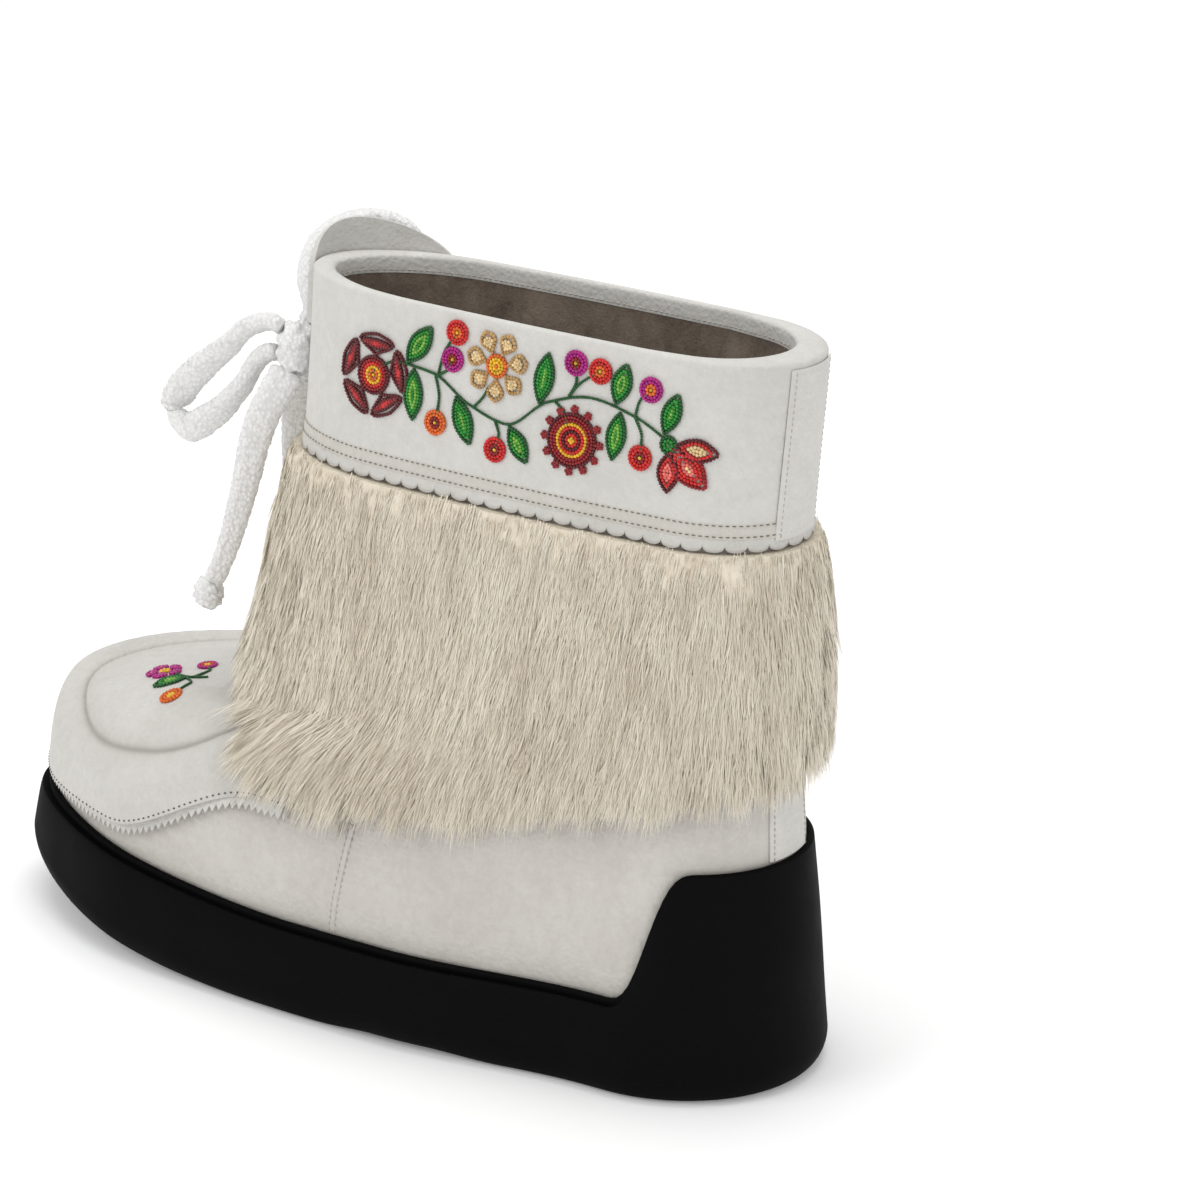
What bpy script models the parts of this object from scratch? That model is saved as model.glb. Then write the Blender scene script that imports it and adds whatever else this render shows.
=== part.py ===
"""Left mukluk boot on a black rubber cup sole, standing on the floor plane.

Metres, +Z up. The toe points to -Y and the outer side of the left foot to +X.
The origin is on the floor, under the middle of the boot's box.
Every piece is cut from one skin: closed rings that fan from the foot's feather
line, over the toe and the instep, up to the collar.
"""
import math

import bmesh
import bpy
import numpy as np

# Driving sizes of the foot and shaft
LENGTH = 0.294            # outsole, heel to toe
BALL_WIDTH = 0.092        # upper across the ball
TOE_HEIGHT = 0.080        # crown of the moccasin toe
INSTEP_HEIGHT = 0.085     # where the shaft leaves the vamp
COLLAR_HEIGHT = 0.2265    # top edge of the hollow upper
HEM_HEIGHT = 0.172        # lower edge of the cuff
SHAFT_DEPTH = 0.172       # shaft, back to front
SHAFT_WIDTH = 0.050       # flattened shaft, side to side
WALL = 0.0028             # leather with its fleece lining
CLEARANCE = 0.0003        # between pieces that meet
LENGTHWISE_CENTRE = 0.5025  # the origin's share of the length
SIDE_CENTRE = 0.00085     # the foot's line stands this far outside the origin

# Driving sizes of the outsole
LIP_HEIGHT = 0.029        # top edge of the cup round the foot
HEEL_CUP_HEIGHT = 0.072   # top edge of the cup round the heel
TOE_LIP_RISE = 0.0085     # the edge rises by this at the toe
TOE_LIP_SHARES = (0.55, 0.97)  # between these shares of the length
CUP_TOP = 0.050           # the cup's top edge starts to fall here, a share of the length
CUP_FOOT = 0.150          # and meets the lower edge here
LIP_WALL = 0.0024
CUP_GAP = 0.0006          # between the cup's wall and the upper
SOLE_FLARE = 0.0060       # how far the side stands out below the lip
TOE_SPRING = 0.015
HEEL_FLOOR = 0.023        # height of the footbed
TOE_FLOOR = 0.018
SPRING_SHARE = 0.59       # the toe starts to rise here, a share of the length
ARCH_RISE = 0.0012
ARCH_SHARES = (0.27, 0.36, 0.42, 0.50)  # the arch rises and falls between these
GROOVE_DEPTH = 0.0025
GROOVE_WIDTH = 0.0050
GROOVE_RIM = 0.0044       # uncut rim inside the feather line at each groove's end
GROOVE_TOOL = 0.020       # height of the cutting block

# Driving sizes of what is sewn on
INSOLE_THICKNESS = 0.0040
INSOLE_GAP = 0.0012       # between the insole's edge and the lining
INSOLE_ROUND = (0.0012, 0.7)  # its top edge is rounded in, from this share of its height
OVERLAY_THICKNESS = 0.0015
OVERLAY_GAP = 0.0007
TOE_ROLL = 0.0022         # roll round the moccasin plug
PLUG_LENGTH = 0.110
PLUG_WIDTH = 0.070
PLUG_SHARE = 0.7235       # the plug's middle, a share of the length
PLUG_SIDE = -0.0035       # and its distance inwards
PLUG_SINK = 0.45          # share of the overlay's thickness that the plug lies lower
PLUG_EDGE = (0.86, 1.0)   # the plug drops between these shares of its reach
ROLL_PLACE = (1.16, 0.13)  # the roll's crest and half width, shares of the plug's reach
EDGE_SHARES = (0.535, 0.27)  # overlay's lower edge at the toe and its rise, shares of TOE_HEIGHT
EDGE_TURN = (0.60, 0.80)  # the edge rises between these shares of the length
CUFF_THICKNESS = 0.0015
CUFF_TURN_IN = 0.0060     # leather turned in over the collar
CUFF_CREST = (0.1, 0.9)   # the fold's flat top, shares of the wall
SCALLOP_DEPTH = 0.0016
SCALLOPS = 56
STAY_WIDTH = 0.020
STAY_THICKNESS = 0.0009
STAY_COLUMNS = 9
HEEL_STAY_THICKNESS = 0.0005
STAY_INSET = (0.0010, 0.0005)  # the cuff's stay ends this far above the hem and below the collar
HEEL_STAY_ENDS = (0.0008, 0.010)  # above the heel cup, and up under the fur
FUR_DEPTH = 0.0095
FUR_GAP = 0.0012          # hide side of the fur band, clear of the upper
LOCK_DEPTH = 0.0017
LOCK_DROP = 0.0050        # how far the lowest locks hang
LOCK_UNEVEN = (0.3, 7)    # share by which the hanging locks vary, and how often round the boot
LOCK_SLANT = (0.25, 0.8, 5)  # turns per row, and a wander of so many radians, so often round
FUR_EDGE = 0.0020         # depth of the fur at its upper and lower edges
FUR_ROUND = (0.16, 0.18)  # shares of its height over which it rounds off below and above
FUR_NECK = 0.55           # fullness left at the upper edge
TAB_RISE = 0.0115
TAB_THICKNESS = 0.0018
TAB_DROP = 0.0195         # how far the tab reaches down the cuff
TAB_SHOULDER = 0.0040     # its sides start this far below the collar
TAB_TURNS = (0.16, 1.02)  # how far it reaches to the outer and inner side of the front
TAB_COLUMNS = 17
TAB_GAP = 0.0004          # a piece on the cuff stands a little off it, as its facets differ
LACE_RADIUS = 0.0034
KNOT_RADII = (0.0060, 0.0070, 0.0080)  # forward, outward, upward
KNOT_HEIGHT = 0.1975
KNOT_SIDE = 0.06          # turn of the knot to the outer side of the front
LACE_START = 0.0030       # straight stretch out of the knot
LOOP_POINTS = 30
END_POINTS = 18
TIP_RADIUS = 0.0048
TIP_STRETCH = 1.15        # the knotted tips are this much taller than wide

COLUMNS = 48              # columns round the boot
CROWDING = 0.30           # how far columns crowd towards heel and toe
STAY_LEVEL = 2.0          # the heel stay's width is measured at this level
ROLL_LEVEL = 2.5          # above this level the overlay has twice the rows, for its roll
OVERLAY_REACH = 10        # columns each side of the toe that the overlay spans
FULL_TURN = 2 * math.pi

# Foot rings. Lengths back and front are shares of LENGTH, heights of TOE_HEIGHT
# and half widths of BALL_WIDTH. A ring runs from its back point to its front point.
FOOT_COLUMNS = ("back", "back_height", "front", "front_height", "heel", "mid_out", "mid_in",
                "fore_out", "fore_in", "back_round", "front_round", "toe_in", "lift")
FOOT_ROWS = (
    (0.041, 0.290, 0.972, 0.230, 0.39, 0.48, 0.39, 0.485, 0.455, 0.40, 0.66, 0.085, 1.0),
    (0.037, 0.540, 0.984, 0.480, 0.40, 0.51, 0.41, 0.510, 0.490, 0.42, 0.70, 0.085, 1.3),
    (0.038, 0.890, 0.976, 0.700, 0.39, 0.49, 0.41, 0.490, 0.470, 0.41, 0.70, 0.085, 1.0),
    (0.041, 1.150, 0.944, 0.895, 0.36, 0.44, 0.39, 0.425, 0.405, 0.39, 0.64, 0.085, 1.0),
    (0.041, 1.320, 0.850, 0.985, 0.34, 0.40, 0.37, 0.360, 0.330, 0.37, 0.54, 0.065, 1.0),
)
# Shaft rings. Depths are shares of SHAFT_DEPTH, half widths of SHAFT_WIDTH and
# heights run from INSTEP_HEIGHT at 0 to COLLAR_HEIGHT at 1. BACK_SET is where depth 0 lies.
BACK_SET = 0.0115
SHAFT_ROWS = (
    (0.000, 0.235, 1.177, 0.000, 0.600, 0.680, 0.620, 0.620, 0.540, 0.640, 0.860, 0.060, 1.0),
    (0.000, 0.350, 1.078, 0.165, 0.560, 0.620, 0.580, 0.580, 0.520, 0.600, 0.760, 0.020, 1.0),
    (0.003, 0.480, 1.030, 0.385, 0.520, 0.560, 0.540, 0.540, 0.500, 0.600, 0.720, 0.000, 1.0),
    (0.004, 0.610, 1.000, 0.610, 0.490, 0.520, 0.510, 0.500, 0.480, 0.560, 0.680, 0.000, 1.0),
    (-0.020, 1.000, 0.978, 1.000, 0.465, 0.480, 0.480, 0.460, 0.460, 0.560, 0.680, 0.000, 1.0),
    (-0.028, 1.200, 0.972, 1.200, 0.465, 0.480, 0.480, 0.460, 0.460, 0.560, 0.680, 0.000, 1.0),
)
# A ring's half widths stand at these shares of it: heel end, heel, waist, ball, toe end
WIDTH_SHARES = (0.0, 0.16, 0.42, 0.70, 1.0)
HEEL_END = 0.98           # width at the heel end, a share of the heel's
TOE_END = 0.86            # width at the toe end, a share of the ball's
TOE_TURN = (0.5, 1.0)     # the toe swings inwards between these shares

# Lower edge of the fur band: share of the length and height as a share of INSTEP_HEIGHT
FUR_SHARES = (0.0, 0.12, 0.35, 0.50, 0.60, 0.70, 0.80, 1.0)
FUR_HEIGHTS = (1.13, 1.06, 0.86, 0.775, 0.775, 0.96, 1.01, 1.02)

# Side of the outsole, ground upwards: inset from the widest line and height
SIDE_COLUMNS = ("inset", "height")
SIDE_ROWS = ((0.0050, 0.0), (0.0022, 0.0008), (0.0004, 0.0040), (0.0, 0.0110))
SIDE_WAIST = (0.0012, 0.70)   # inset, and height as a share of the lip's
WAIST_RISE = 0.6          # share of the ground's rise that the waist follows
SIDE_SHOULDER = (0.0022, 0.95, 0.45)  # outset, share of the lip's height and of its rise
LIP_ROUND = (0.0009, 0.0012)  # how far the lip's top edge is rounded in and down

# Tread grooves: share of the length, slant in radians
GROOVES = ((0.08, 0.0), (0.14, 0.0), (0.20, 0.0), (0.52, -0.12), (0.58, -0.09), (0.64, -0.06),
           (0.70, -0.03), (0.76, 0.0))

# Lace routes from the knot's centre: forward, outward and upward, in metres.
# A route leaves the knot, and a loop comes back to it, at the directions given first.
OUTER_LOOP_SEATS = ((1.0, 0.15, 1.0), (1.0, 0.30, -0.38))
OUTER_LOOP = ((0.016, 0.002, 0.0045), (0.0255, 0.003, -0.004), (0.0345, 0.004, -0.0120),
              (0.0410, 0.005, -0.0195), (0.0435, 0.006, -0.0270), (0.0390, 0.006, -0.0315),
              (0.0300, 0.005, -0.0265), (0.0200, 0.004, -0.0165))
INNER_LOOP_SEATS = ((-0.05, -0.60, 1.0), (0.45, -1.0, 0.10))
INNER_LOOP = ((0.0035, -0.009, 0.0190), (0.0035, -0.014, 0.0285), (-0.002, -0.021, 0.0350),
              (-0.011, -0.026, 0.0370), (-0.020, -0.0295, 0.0335), (-0.023, -0.032, 0.0255),
              (-0.018, -0.032, 0.0175), (-0.008, -0.0295, 0.010), (0.002, -0.022, 0.004))
OUTER_END_SEATS = ((0.15, 0.55, -1.0),)
OUTER_END = ((0.0075, 0.008, -0.021), (0.0110, 0.008, -0.030), (0.0150, 0.0075, -0.044),
             (0.0195, 0.007, -0.058), (0.0245, 0.0065, -0.071), (0.0295, 0.006, -0.0810))
INNER_END_SEATS = ((0.40, -0.65, -1.0),)
INNER_END = ((0.010, -0.011, -0.018), (0.013, -0.016, -0.026), (0.016, -0.019, -0.038),
             (0.018, -0.021, -0.050), (0.020, -0.021, -0.062))

COLOURS = {
    "outsole": ((0.012, 0.012, 0.013), 0.55),
    "upper": ((0.74, 0.72, 0.69), 0.80),
    "insole": ((0.24, 0.20, 0.17), 0.95),
    "toe_overlay": ((0.78, 0.76, 0.73), 0.80),
    "fur_band": ((0.72, 0.66, 0.55), 0.95),
    "cuff": ((0.82, 0.81, 0.79), 0.60),
    "stay": ((0.80, 0.79, 0.77), 0.65),
    "lace": ((0.85, 0.84, 0.83), 0.90),
}


def cubic(part, wide, low, high, low_slope, high_slope):
    """Cubic between two values with the given slopes at its ends."""
    square, cube = part**2, part**3
    value = (2 * cube - 3 * square + 1) * low + (3 * square - 2 * cube) * high
    return value + wide * ((cube - 2 * square + part) * low_slope + (cube - square) * high_slope)


def gentle_slopes(rise):
    """Slopes at the inner knots that keep a curve from overshooting."""
    both = rise[:-1] * rise[1:]
    total = rise[:-1] + rise[1:]
    return np.where(both > 0, 2 * both / np.where(total == 0, 1, total), 0)


def smooth_between(knots, rows, at):
    """Curve through the rows, without overshoot. Rows may hold numbers or arrays."""
    knots = np.asarray(knots, float)
    rows = np.asarray(rows, float)
    step = np.diff(knots)
    rise = np.diff(rows, axis=0) / step.reshape((-1,) + (1,) * (rows.ndim - 1))
    slope = np.concatenate([rise[:1], gentle_slopes(rise), rise[-1:]])
    at = np.clip(at, knots[0], knots[-1])
    span = np.clip(np.searchsorted(knots, at, side="right") - 1, 0, len(step) - 1)
    shape = np.shape(at) + (1,) * (rows.ndim - 1)
    part = np.reshape((at - knots[span]) / step[span], shape)
    wide = np.reshape(step[span], shape)
    return cubic(part, wide, rows[span], rows[span + 1], slope[span], slope[span + 1])


def ease(value, low, high):
    """Smooth step from 0 at low to 1 at high."""
    part = np.clip((value - low) / (high - low), 0, 1)
    return part * part * (3 - 2 * part)


def ring_rows():
    """All rings in metres, feather line first."""
    rows = []
    for row in FOOT_ROWS:
        foot = dict(zip(FOOT_COLUMNS, row))
        rows.append([foot["back"] * LENGTH, foot["back_height"] * TOE_HEIGHT, foot["front"] * LENGTH,
                     foot["front_height"] * TOE_HEIGHT]
                    + [foot[name] * BALL_WIDTH for name in FOOT_COLUMNS[4:12]] + [foot["lift"]])
    rows[0][1], rows[0][3] = HEEL_FLOOR + CLEARANCE, TOE_FLOOR + CLEARANCE
    climb = COLLAR_HEIGHT - INSTEP_HEIGHT
    for row in SHAFT_ROWS:
        shaft = dict(zip(FOOT_COLUMNS, row))
        rows.append([BACK_SET + shaft["back"] * SHAFT_DEPTH, INSTEP_HEIGHT + shaft["back_height"] * climb,
                     BACK_SET + shaft["front"] * SHAFT_DEPTH, INSTEP_HEIGHT + shaft["front_height"] * climb]
                    + [shaft[name] * SHAFT_WIDTH for name in FOOT_COLUMNS[4:12]] + [shaft["lift"]])
    return np.array(rows)


RINGS = ring_rows()
COLLAR_RING = len(FOOT_ROWS) + len(SHAFT_ROWS) - 2
LEVELS = np.arange(0, len(RINGS) - 1 + 0.01, 0.5)
TURNS = np.arange(COLUMNS) / COLUMNS * FULL_TURN


def end_round(part):
    """Quarter circle from 0 at an end to 1 where the width is full."""
    part = np.clip(part, 0, 1)
    return np.sqrt(1 - (1 - part) ** 2)


def along_share(turn):
    """Share of a ring's length at a turn: 0 at the back, 1 at the front."""
    return (1 - np.cos(turn - CROWDING * np.sin(2 * turn) / 2)) / 2


def exact_skin(level, turn):
    """Point of the upper's outer face. Turn 0 is the back and half a turn the front."""
    row = smooth_between(np.arange(len(RINGS)), RINGS, level)
    values = dict(zip(FOOT_COLUMNS, np.moveaxis(row, -1, 0)))
    share = along_share(turn)
    outer = np.sin(turn) >= 0
    span = values["front"] - values["back"]
    heel = values["heel"]
    wide = []
    for side in ("out", "in"):
        mid, fore = values["mid_" + side], values["fore_" + side]
        knots = [heel * HEEL_END, heel, mid, fore, fore * TOE_END]
        wide.append(width_at(share, knots))
    width = np.where(outer, wide[0], -wide[1])
    width = width * end_round(share * span / values["back_round"])
    width = width * end_round((1 - share) * span / values["front_round"])
    along = values["back"] + span * share
    across = SIDE_CENTRE + width - values["toe_in"] * ease(share, *TOE_TURN)
    climb = values["front_height"] - values["back_height"]
    height = values["back_height"] + climb * share ** values["lift"]
    return np.stack([across, LENGTH * LENGTHWISE_CENTRE - along, height], -1)


def width_at(share, knots):
    """Half width along a ring, through five widths at WIDTH_SHARES."""
    share, *knots = np.broadcast_arrays(share, *knots)
    rows = np.stack(knots)
    step = np.diff(WIDTH_SHARES)
    rise = np.diff(rows, axis=0) / step.reshape((-1,) + (1,) * share.ndim)
    level_end = np.zeros_like(rows[:1])
    slope = np.concatenate([level_end, gentle_slopes(rise), level_end])
    result = rows[0]
    for k, wide in enumerate(step):
        part = np.clip((share - WIDTH_SHARES[k]) / wide, 0, 1)
        curve = cubic(part, wide, rows[k], rows[k + 1], slope[k], slope[k + 1])
        result = np.where(share >= WIDTH_SHARES[k], curve, result)
    return result


def base_grid():
    """The skin's facets: points and outward normals on LEVELS by TURNS."""
    level, turn = np.meshgrid(LEVELS, TURNS, indexing="ij")
    points = exact_skin(level, turn)
    across = np.roll(points, -1, axis=1) - np.roll(points, 1, axis=1)
    upward = np.gradient(points, axis=0)
    normals = np.cross(upward, across)
    normals /= np.linalg.norm(normals, axis=-1, keepdims=True)
    return points, normals


POINTS, NORMALS = base_grid()


def skin(level, turn, offset):
    """Point on the faceted skin, moved outwards by offset."""
    level, turn, offset = np.broadcast_arrays(np.asarray(level, float), turn, offset)
    row = np.clip(level / 0.5, 0, len(LEVELS) - 1.0001)
    column = (turn / FULL_TURN * COLUMNS) % COLUMNS
    i, j = row.astype(int), column.astype(int) % COLUMNS
    f, g = (row - i)[..., None], (column - np.floor(column))[..., None]
    after = (j + 1) % COLUMNS
    values = []
    for grid in (POINTS, NORMALS):
        corner, far = grid[i, j], grid[i + 1, after]
        steep = corner * (1 - f) + grid[i + 1, j] * (f - g) + far * g
        flat = corner * (1 - g) + grid[i, after] * (g - f) + far * f
        values.append(np.where(f >= g, steep, flat))
    return values[0] + values[1] * offset[..., None]


def level_at(height, turn):
    """Level at which the skin passes a height, column by column."""
    height, turn = np.broadcast_arrays(height, turn)
    tries = np.linspace(0, LEVELS[-1], 400)
    found = np.empty(turn.shape)
    for index, angle in np.ndenumerate(turn):
        found[index] = np.interp(height[index], skin(tries, angle, 0.0)[:, 2], tries)
    return found


def down_along(level, turn, distance):
    """Level that lies a distance down the skin from another level."""
    pace = np.linalg.norm(skin(level, turn, 0.0) - skin(level - 0.2, turn, 0.0), axis=-1) / 0.2
    return level - distance / pace


def new_object(name, mesh_data, kind):
    """Wrap a bmesh as a named object of the boot with its own material."""
    colour, roughness = COLOURS[kind]
    mesh = bpy.data.meshes.new(name)
    mesh_data.to_mesh(mesh)
    mesh_data.free()
    obj = bpy.data.objects.new(name, mesh)
    material = bpy.data.materials.new(name + "_finish")
    material.use_nodes = True
    shader = material.node_tree.nodes["Principled BSDF"]
    shader.inputs["Base Color"].default_value = (*colour, 1)
    shader.inputs["Roughness"].default_value = roughness
    shader.inputs["Metallic"].default_value = 0
    mesh.materials.append(material)
    boot.objects.link(obj)
    mesh.shade_smooth()
    mesh.set_sharp_from_angle(angle=math.radians(40))
    return obj


def facet(data, low_here, low_next, high_next, high_here):
    """Two triangles split from the lower point here to the higher point at the next column."""
    if (low_here.co.z + low_next.co.z) > (high_here.co.z + high_next.co.z):
        low_here, high_here, low_next, high_next = high_here, low_here, high_next, low_next
    data.faces.new((low_here, low_next, high_next))
    data.faces.new((low_here, high_next, high_here))


def sweep(section, closed):
    """Closed solid from section points [point, column, xyz], joined round the boot or capped."""
    data = bmesh.new()
    rows, columns = section.shape[:2]
    verts = [[data.verts.new(section[i, j]) for j in range(columns)] for i in range(rows)]
    last = columns if closed else columns - 1
    for i in range(rows):
        for j in range(last):
            k, m = (i + 1) % rows, (j + 1) % columns
            facet(data, verts[i][j], verts[i][m], verts[k][m], verts[k][j])
    if not closed:
        for j in (0, columns - 1):
            for i in range(rows // 2 - 1):
                data.faces.new((verts[i][j], verts[i + 1][j], verts[rows - 2 - i][j], verts[rows - 1 - i][j]))
    return tidy(data)


def tidy(data):
    """Merge points that fell together and turn the faces outwards."""
    bmesh.ops.remove_doubles(data, verts=data.verts, dist=0.00005)
    bmesh.ops.dissolve_degenerate(data, edges=data.edges, dist=0.00002)
    bmesh.ops.triangulate(data, faces=data.faces)
    bmesh.ops.recalc_face_normals(data, faces=data.faces)
    return data


def stacked(rings):
    """Closed solid from rings, bottom to top, closed below and above by strips across."""
    data = bmesh.new()
    rows, columns = rings.shape[:2]
    verts = [[data.verts.new(rings[i, j]) for j in range(columns)] for i in range(rows)]
    for i in range(rows - 1):
        for j in range(columns):
            m = (j + 1) % columns
            facet(data, verts[i][j], verts[i][m], verts[i + 1][m], verts[i + 1][j])
    for ring in (verts[0], verts[-1]):
        for j in range(columns // 2):
            corners = [ring[j], ring[j + 1], ring[(columns - j - 1) % columns], ring[(columns - j) % columns]]
            corners = list(dict.fromkeys(corners))
            data.faces.new(corners)
    return tidy(data)


def clipped(low, high, turns, step=1):
    """Levels of the skin's own rows between two edges, so that facets match."""
    rows = LEVELS[::step][:, None] * np.ones(len(turns))
    return np.clip(rows, low, high)


def keep_rows(levels):
    """Drop rows that lie wholly on an edge, apart from the edge itself."""
    kept = [levels[0]]
    for row in levels[1:]:
        if np.abs(row - kept[-1]).max() > 1e-6:
            kept.append(row)
    return np.array(kept)


def build_upper():
    """Hollow upper, open at the collar and underneath."""
    outer = keep_rows(clipped(0.0, COLLAR_RING, TURNS))
    inner = outer[::2]
    section = np.concatenate([skin(outer, TURNS, 0.0), skin(inner, TURNS, -WALL)[::-1]])
    low_edge = section[-1]
    low_edge[:, 2] = section[0][:, 2]
    return new_object("upper", sweep(section, True), "upper")


def lip_height(turn):
    """Top edge of the rubber cup, rising in an S to the heel."""
    fall = ease(ease(along_share(turn), CUP_TOP, CUP_FOOT), 0, 1)
    return LIP_HEIGHT + (HEEL_CUP_HEIGHT - LIP_HEIGHT) * (1 - fall) + toe_lip_rise(turn)


def toe_lip_rise(turn):
    """How much the cup's top edge sweeps up with the toe."""
    return TOE_LIP_RISE * ease(along_share(turn), *TOE_LIP_SHARES)


def floor_ring(outset, height):
    """Ring of the feather line, moved outwards in plan, at a height of its own."""
    ring = skin(0.0, TURNS, 0.0)
    ahead = np.roll(ring, -1, axis=0) - np.roll(ring, 1, axis=0)
    outward = np.stack([-ahead[:, 1], ahead[:, 0]], -1)
    outward /= np.linalg.norm(outward, axis=-1, keepdims=True)
    ring = ring.copy()
    ring[:, :2] += outward * np.broadcast_to(outset, len(ring))[:, None]
    ring[:, 2] = height
    return ring


def ground(turn):
    """Underside of the outsole: flat heel and ball, low arch, toe spring."""
    share = along_share(turn)
    spring = TOE_SPRING * np.clip((share - SPRING_SHARE) / (1 - SPRING_SHARE), 0, 1) ** 2
    arch = ARCH_RISE * ease(share, *ARCH_SHARES[:2]) * (1 - ease(share, *ARCH_SHARES[2:]))
    return spring + arch


def build_outsole():
    """Rubber cup sole: flared side, heel cup, footbed floor and tread grooves."""
    lip = lip_height(TURNS)
    lip_level = level_at(lip, TURNS)
    base = ground(TURNS)
    wide = skin(level_at(LIP_HEIGHT, TURNS), TURNS, 0.0)
    feather = floor_ring(0.0, 0.0)
    overhang = np.linalg.norm(wide[:, :2] - feather[:, :2], axis=-1)
    side = LIP_WALL + SOLE_FLARE + overhang
    rings = []
    for row in SIDE_ROWS:
        ring = dict(zip(SIDE_COLUMNS, row))
        rings.append(floor_ring(side - ring["inset"], base + ring["height"]))
    waist_inset, waist_share = SIDE_WAIST
    rings.append(floor_ring(side - waist_inset, LIP_HEIGHT * waist_share + base * WAIST_RISE))
    outset, lip_share, rise_share = SIDE_SHOULDER
    toe_rise = toe_lip_rise(TURNS)
    shoulder = LIP_HEIGHT * lip_share + toe_rise + (lip - toe_rise - LIP_HEIGHT) * rise_share
    rings.append(skin(level_at(shoulder, TURNS), TURNS, LIP_WALL + outset))
    round_in, round_down = LIP_ROUND
    rings.append(skin(level_at(lip - round_down, TURNS), TURNS, LIP_WALL))
    rings.append(skin(lip_level, TURNS, LIP_WALL - round_in))
    inside = [skin(levels, TURNS, CUP_GAP) for levels in keep_rows(clipped(0.0, lip_level, TURNS))]
    inside[0][:, 2] -= CLEARANCE
    rings += inside[::-1]
    sole = new_object("outsole", stacked(np.array(rings)), "outsole")
    for index, (share, slant) in enumerate(GROOVES):
        cut_groove(sole, index, share, slant)
    return sole


def cut_groove(sole, index, share, slant):
    """One transverse tread groove, ending inside the rim."""
    tries = np.linspace(0, math.pi, 721)
    turn = float(np.interp(share, along_share(tries), tries))
    outer = skin(0.0, turn, 0.0)
    inner = skin(0.0, FULL_TURN - turn, 0.0)
    reach = outer[0] - inner[0] - GROOVE_RIM
    top = float(ground(turn)) + GROOVE_DEPTH
    data = bmesh.new()
    bmesh.ops.create_cube(data, size=1)
    for vert in data.verts:
        vert.co.x *= reach
        vert.co.y *= GROOVE_WIDTH
        vert.co.z *= GROOVE_TOOL
    mesh = bpy.data.meshes.new("groove_%d" % index)
    data.to_mesh(mesh)
    data.free()
    cutter = bpy.data.objects.new("groove_%d" % index, mesh)
    cutter.location = ((inner[0] + outer[0]) / 2, outer[1], top - GROOVE_TOOL / 2)
    cutter.rotation_euler = (0, 0, slant)
    cutter.hide_render = True
    cutter.display_type = "WIRE"
    cutters.objects.link(cutter)
    cut = sole.modifiers.new("groove_%d" % index, "BOOLEAN")
    cut.operation = "DIFFERENCE"
    cut.solver = "EXACT"
    cut.object = cutter


def build_insole():
    """Fleece footbed inside the upper, on the cup's floor."""
    base = skin(0.0, TURNS, 0.0)[:, 2] + CLEARANCE
    inset = -WALL - INSOLE_GAP
    round_in, straight = INSOLE_ROUND
    rings = [floor_ring(inset, base), floor_ring(inset, base + INSOLE_THICKNESS * straight),
             floor_ring(inset - round_in, base + INSOLE_THICKNESS)]
    return new_object("insole", stacked(np.array(rings)), "insole")


def plug_relief(points):
    """Extra thickness of the toe overlay: a roll round a lower oval plug."""
    along = LENGTH * (LENGTHWISE_CENTRE - PLUG_SHARE) - points[..., 1]
    across = points[..., 0] + PLUG_SIDE
    reach = np.hypot(across / (PLUG_WIDTH / 2), along / (PLUG_LENGTH / 2))
    crest, spread = ROLL_PLACE
    roll = np.exp(-(((reach - crest) / spread) ** 2))
    return TOE_ROLL * roll - OVERLAY_THICKNESS * PLUG_SINK * (1 - ease(reach, *PLUG_EDGE))


def overlay_edge(turn):
    """Height of the pinked lower edge of the toe overlay."""
    share = along_share(turn)
    toe, rise = EDGE_SHARES
    return TOE_HEIGHT * (toe + rise * (1 - ease(share, *EDGE_TURN)))


def build_toe_overlay():
    """Toe piece laid over the vamp, with its moccasin roll and plug."""
    reach = FULL_TURN / COLUMNS * OVERLAY_REACH
    turns = np.linspace(math.pi - reach, math.pi + reach, OVERLAY_REACH * 4 + 1)
    low = level_at(overlay_edge(turns), turns)
    fur = level_at(fur_low(turns), turns)
    levels = keep_rows(clipped(low, down_along(fur, turns, LOCK_DROP + 2 * CLEARANCE), turns))
    halves = [levels[0]]
    for before, after in zip(levels[:-1], levels[1:]):
        halves += [(before + after) / 2, after] if after.max() > ROLL_LEVEL else [after]
    levels = np.array(halves)
    relief = plug_relief(skin(levels, turns, OVERLAY_GAP + OVERLAY_THICKNESS))
    outer = skin(levels, turns, OVERLAY_GAP + OVERLAY_THICKNESS + relief)
    inner = skin(levels, turns, OVERLAY_GAP)
    return new_object("toe_overlay", sweep(np.concatenate([outer, inner[::-1]]), False), "toe_overlay")


def fur_low(turn):
    """Height of the fur band's lower edge, sloping from the heel to the instep."""
    share = along_share(turn)
    edge = smooth_between(FUR_SHARES, FUR_HEIGHTS, share)
    return edge * INSTEP_HEIGHT


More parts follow.
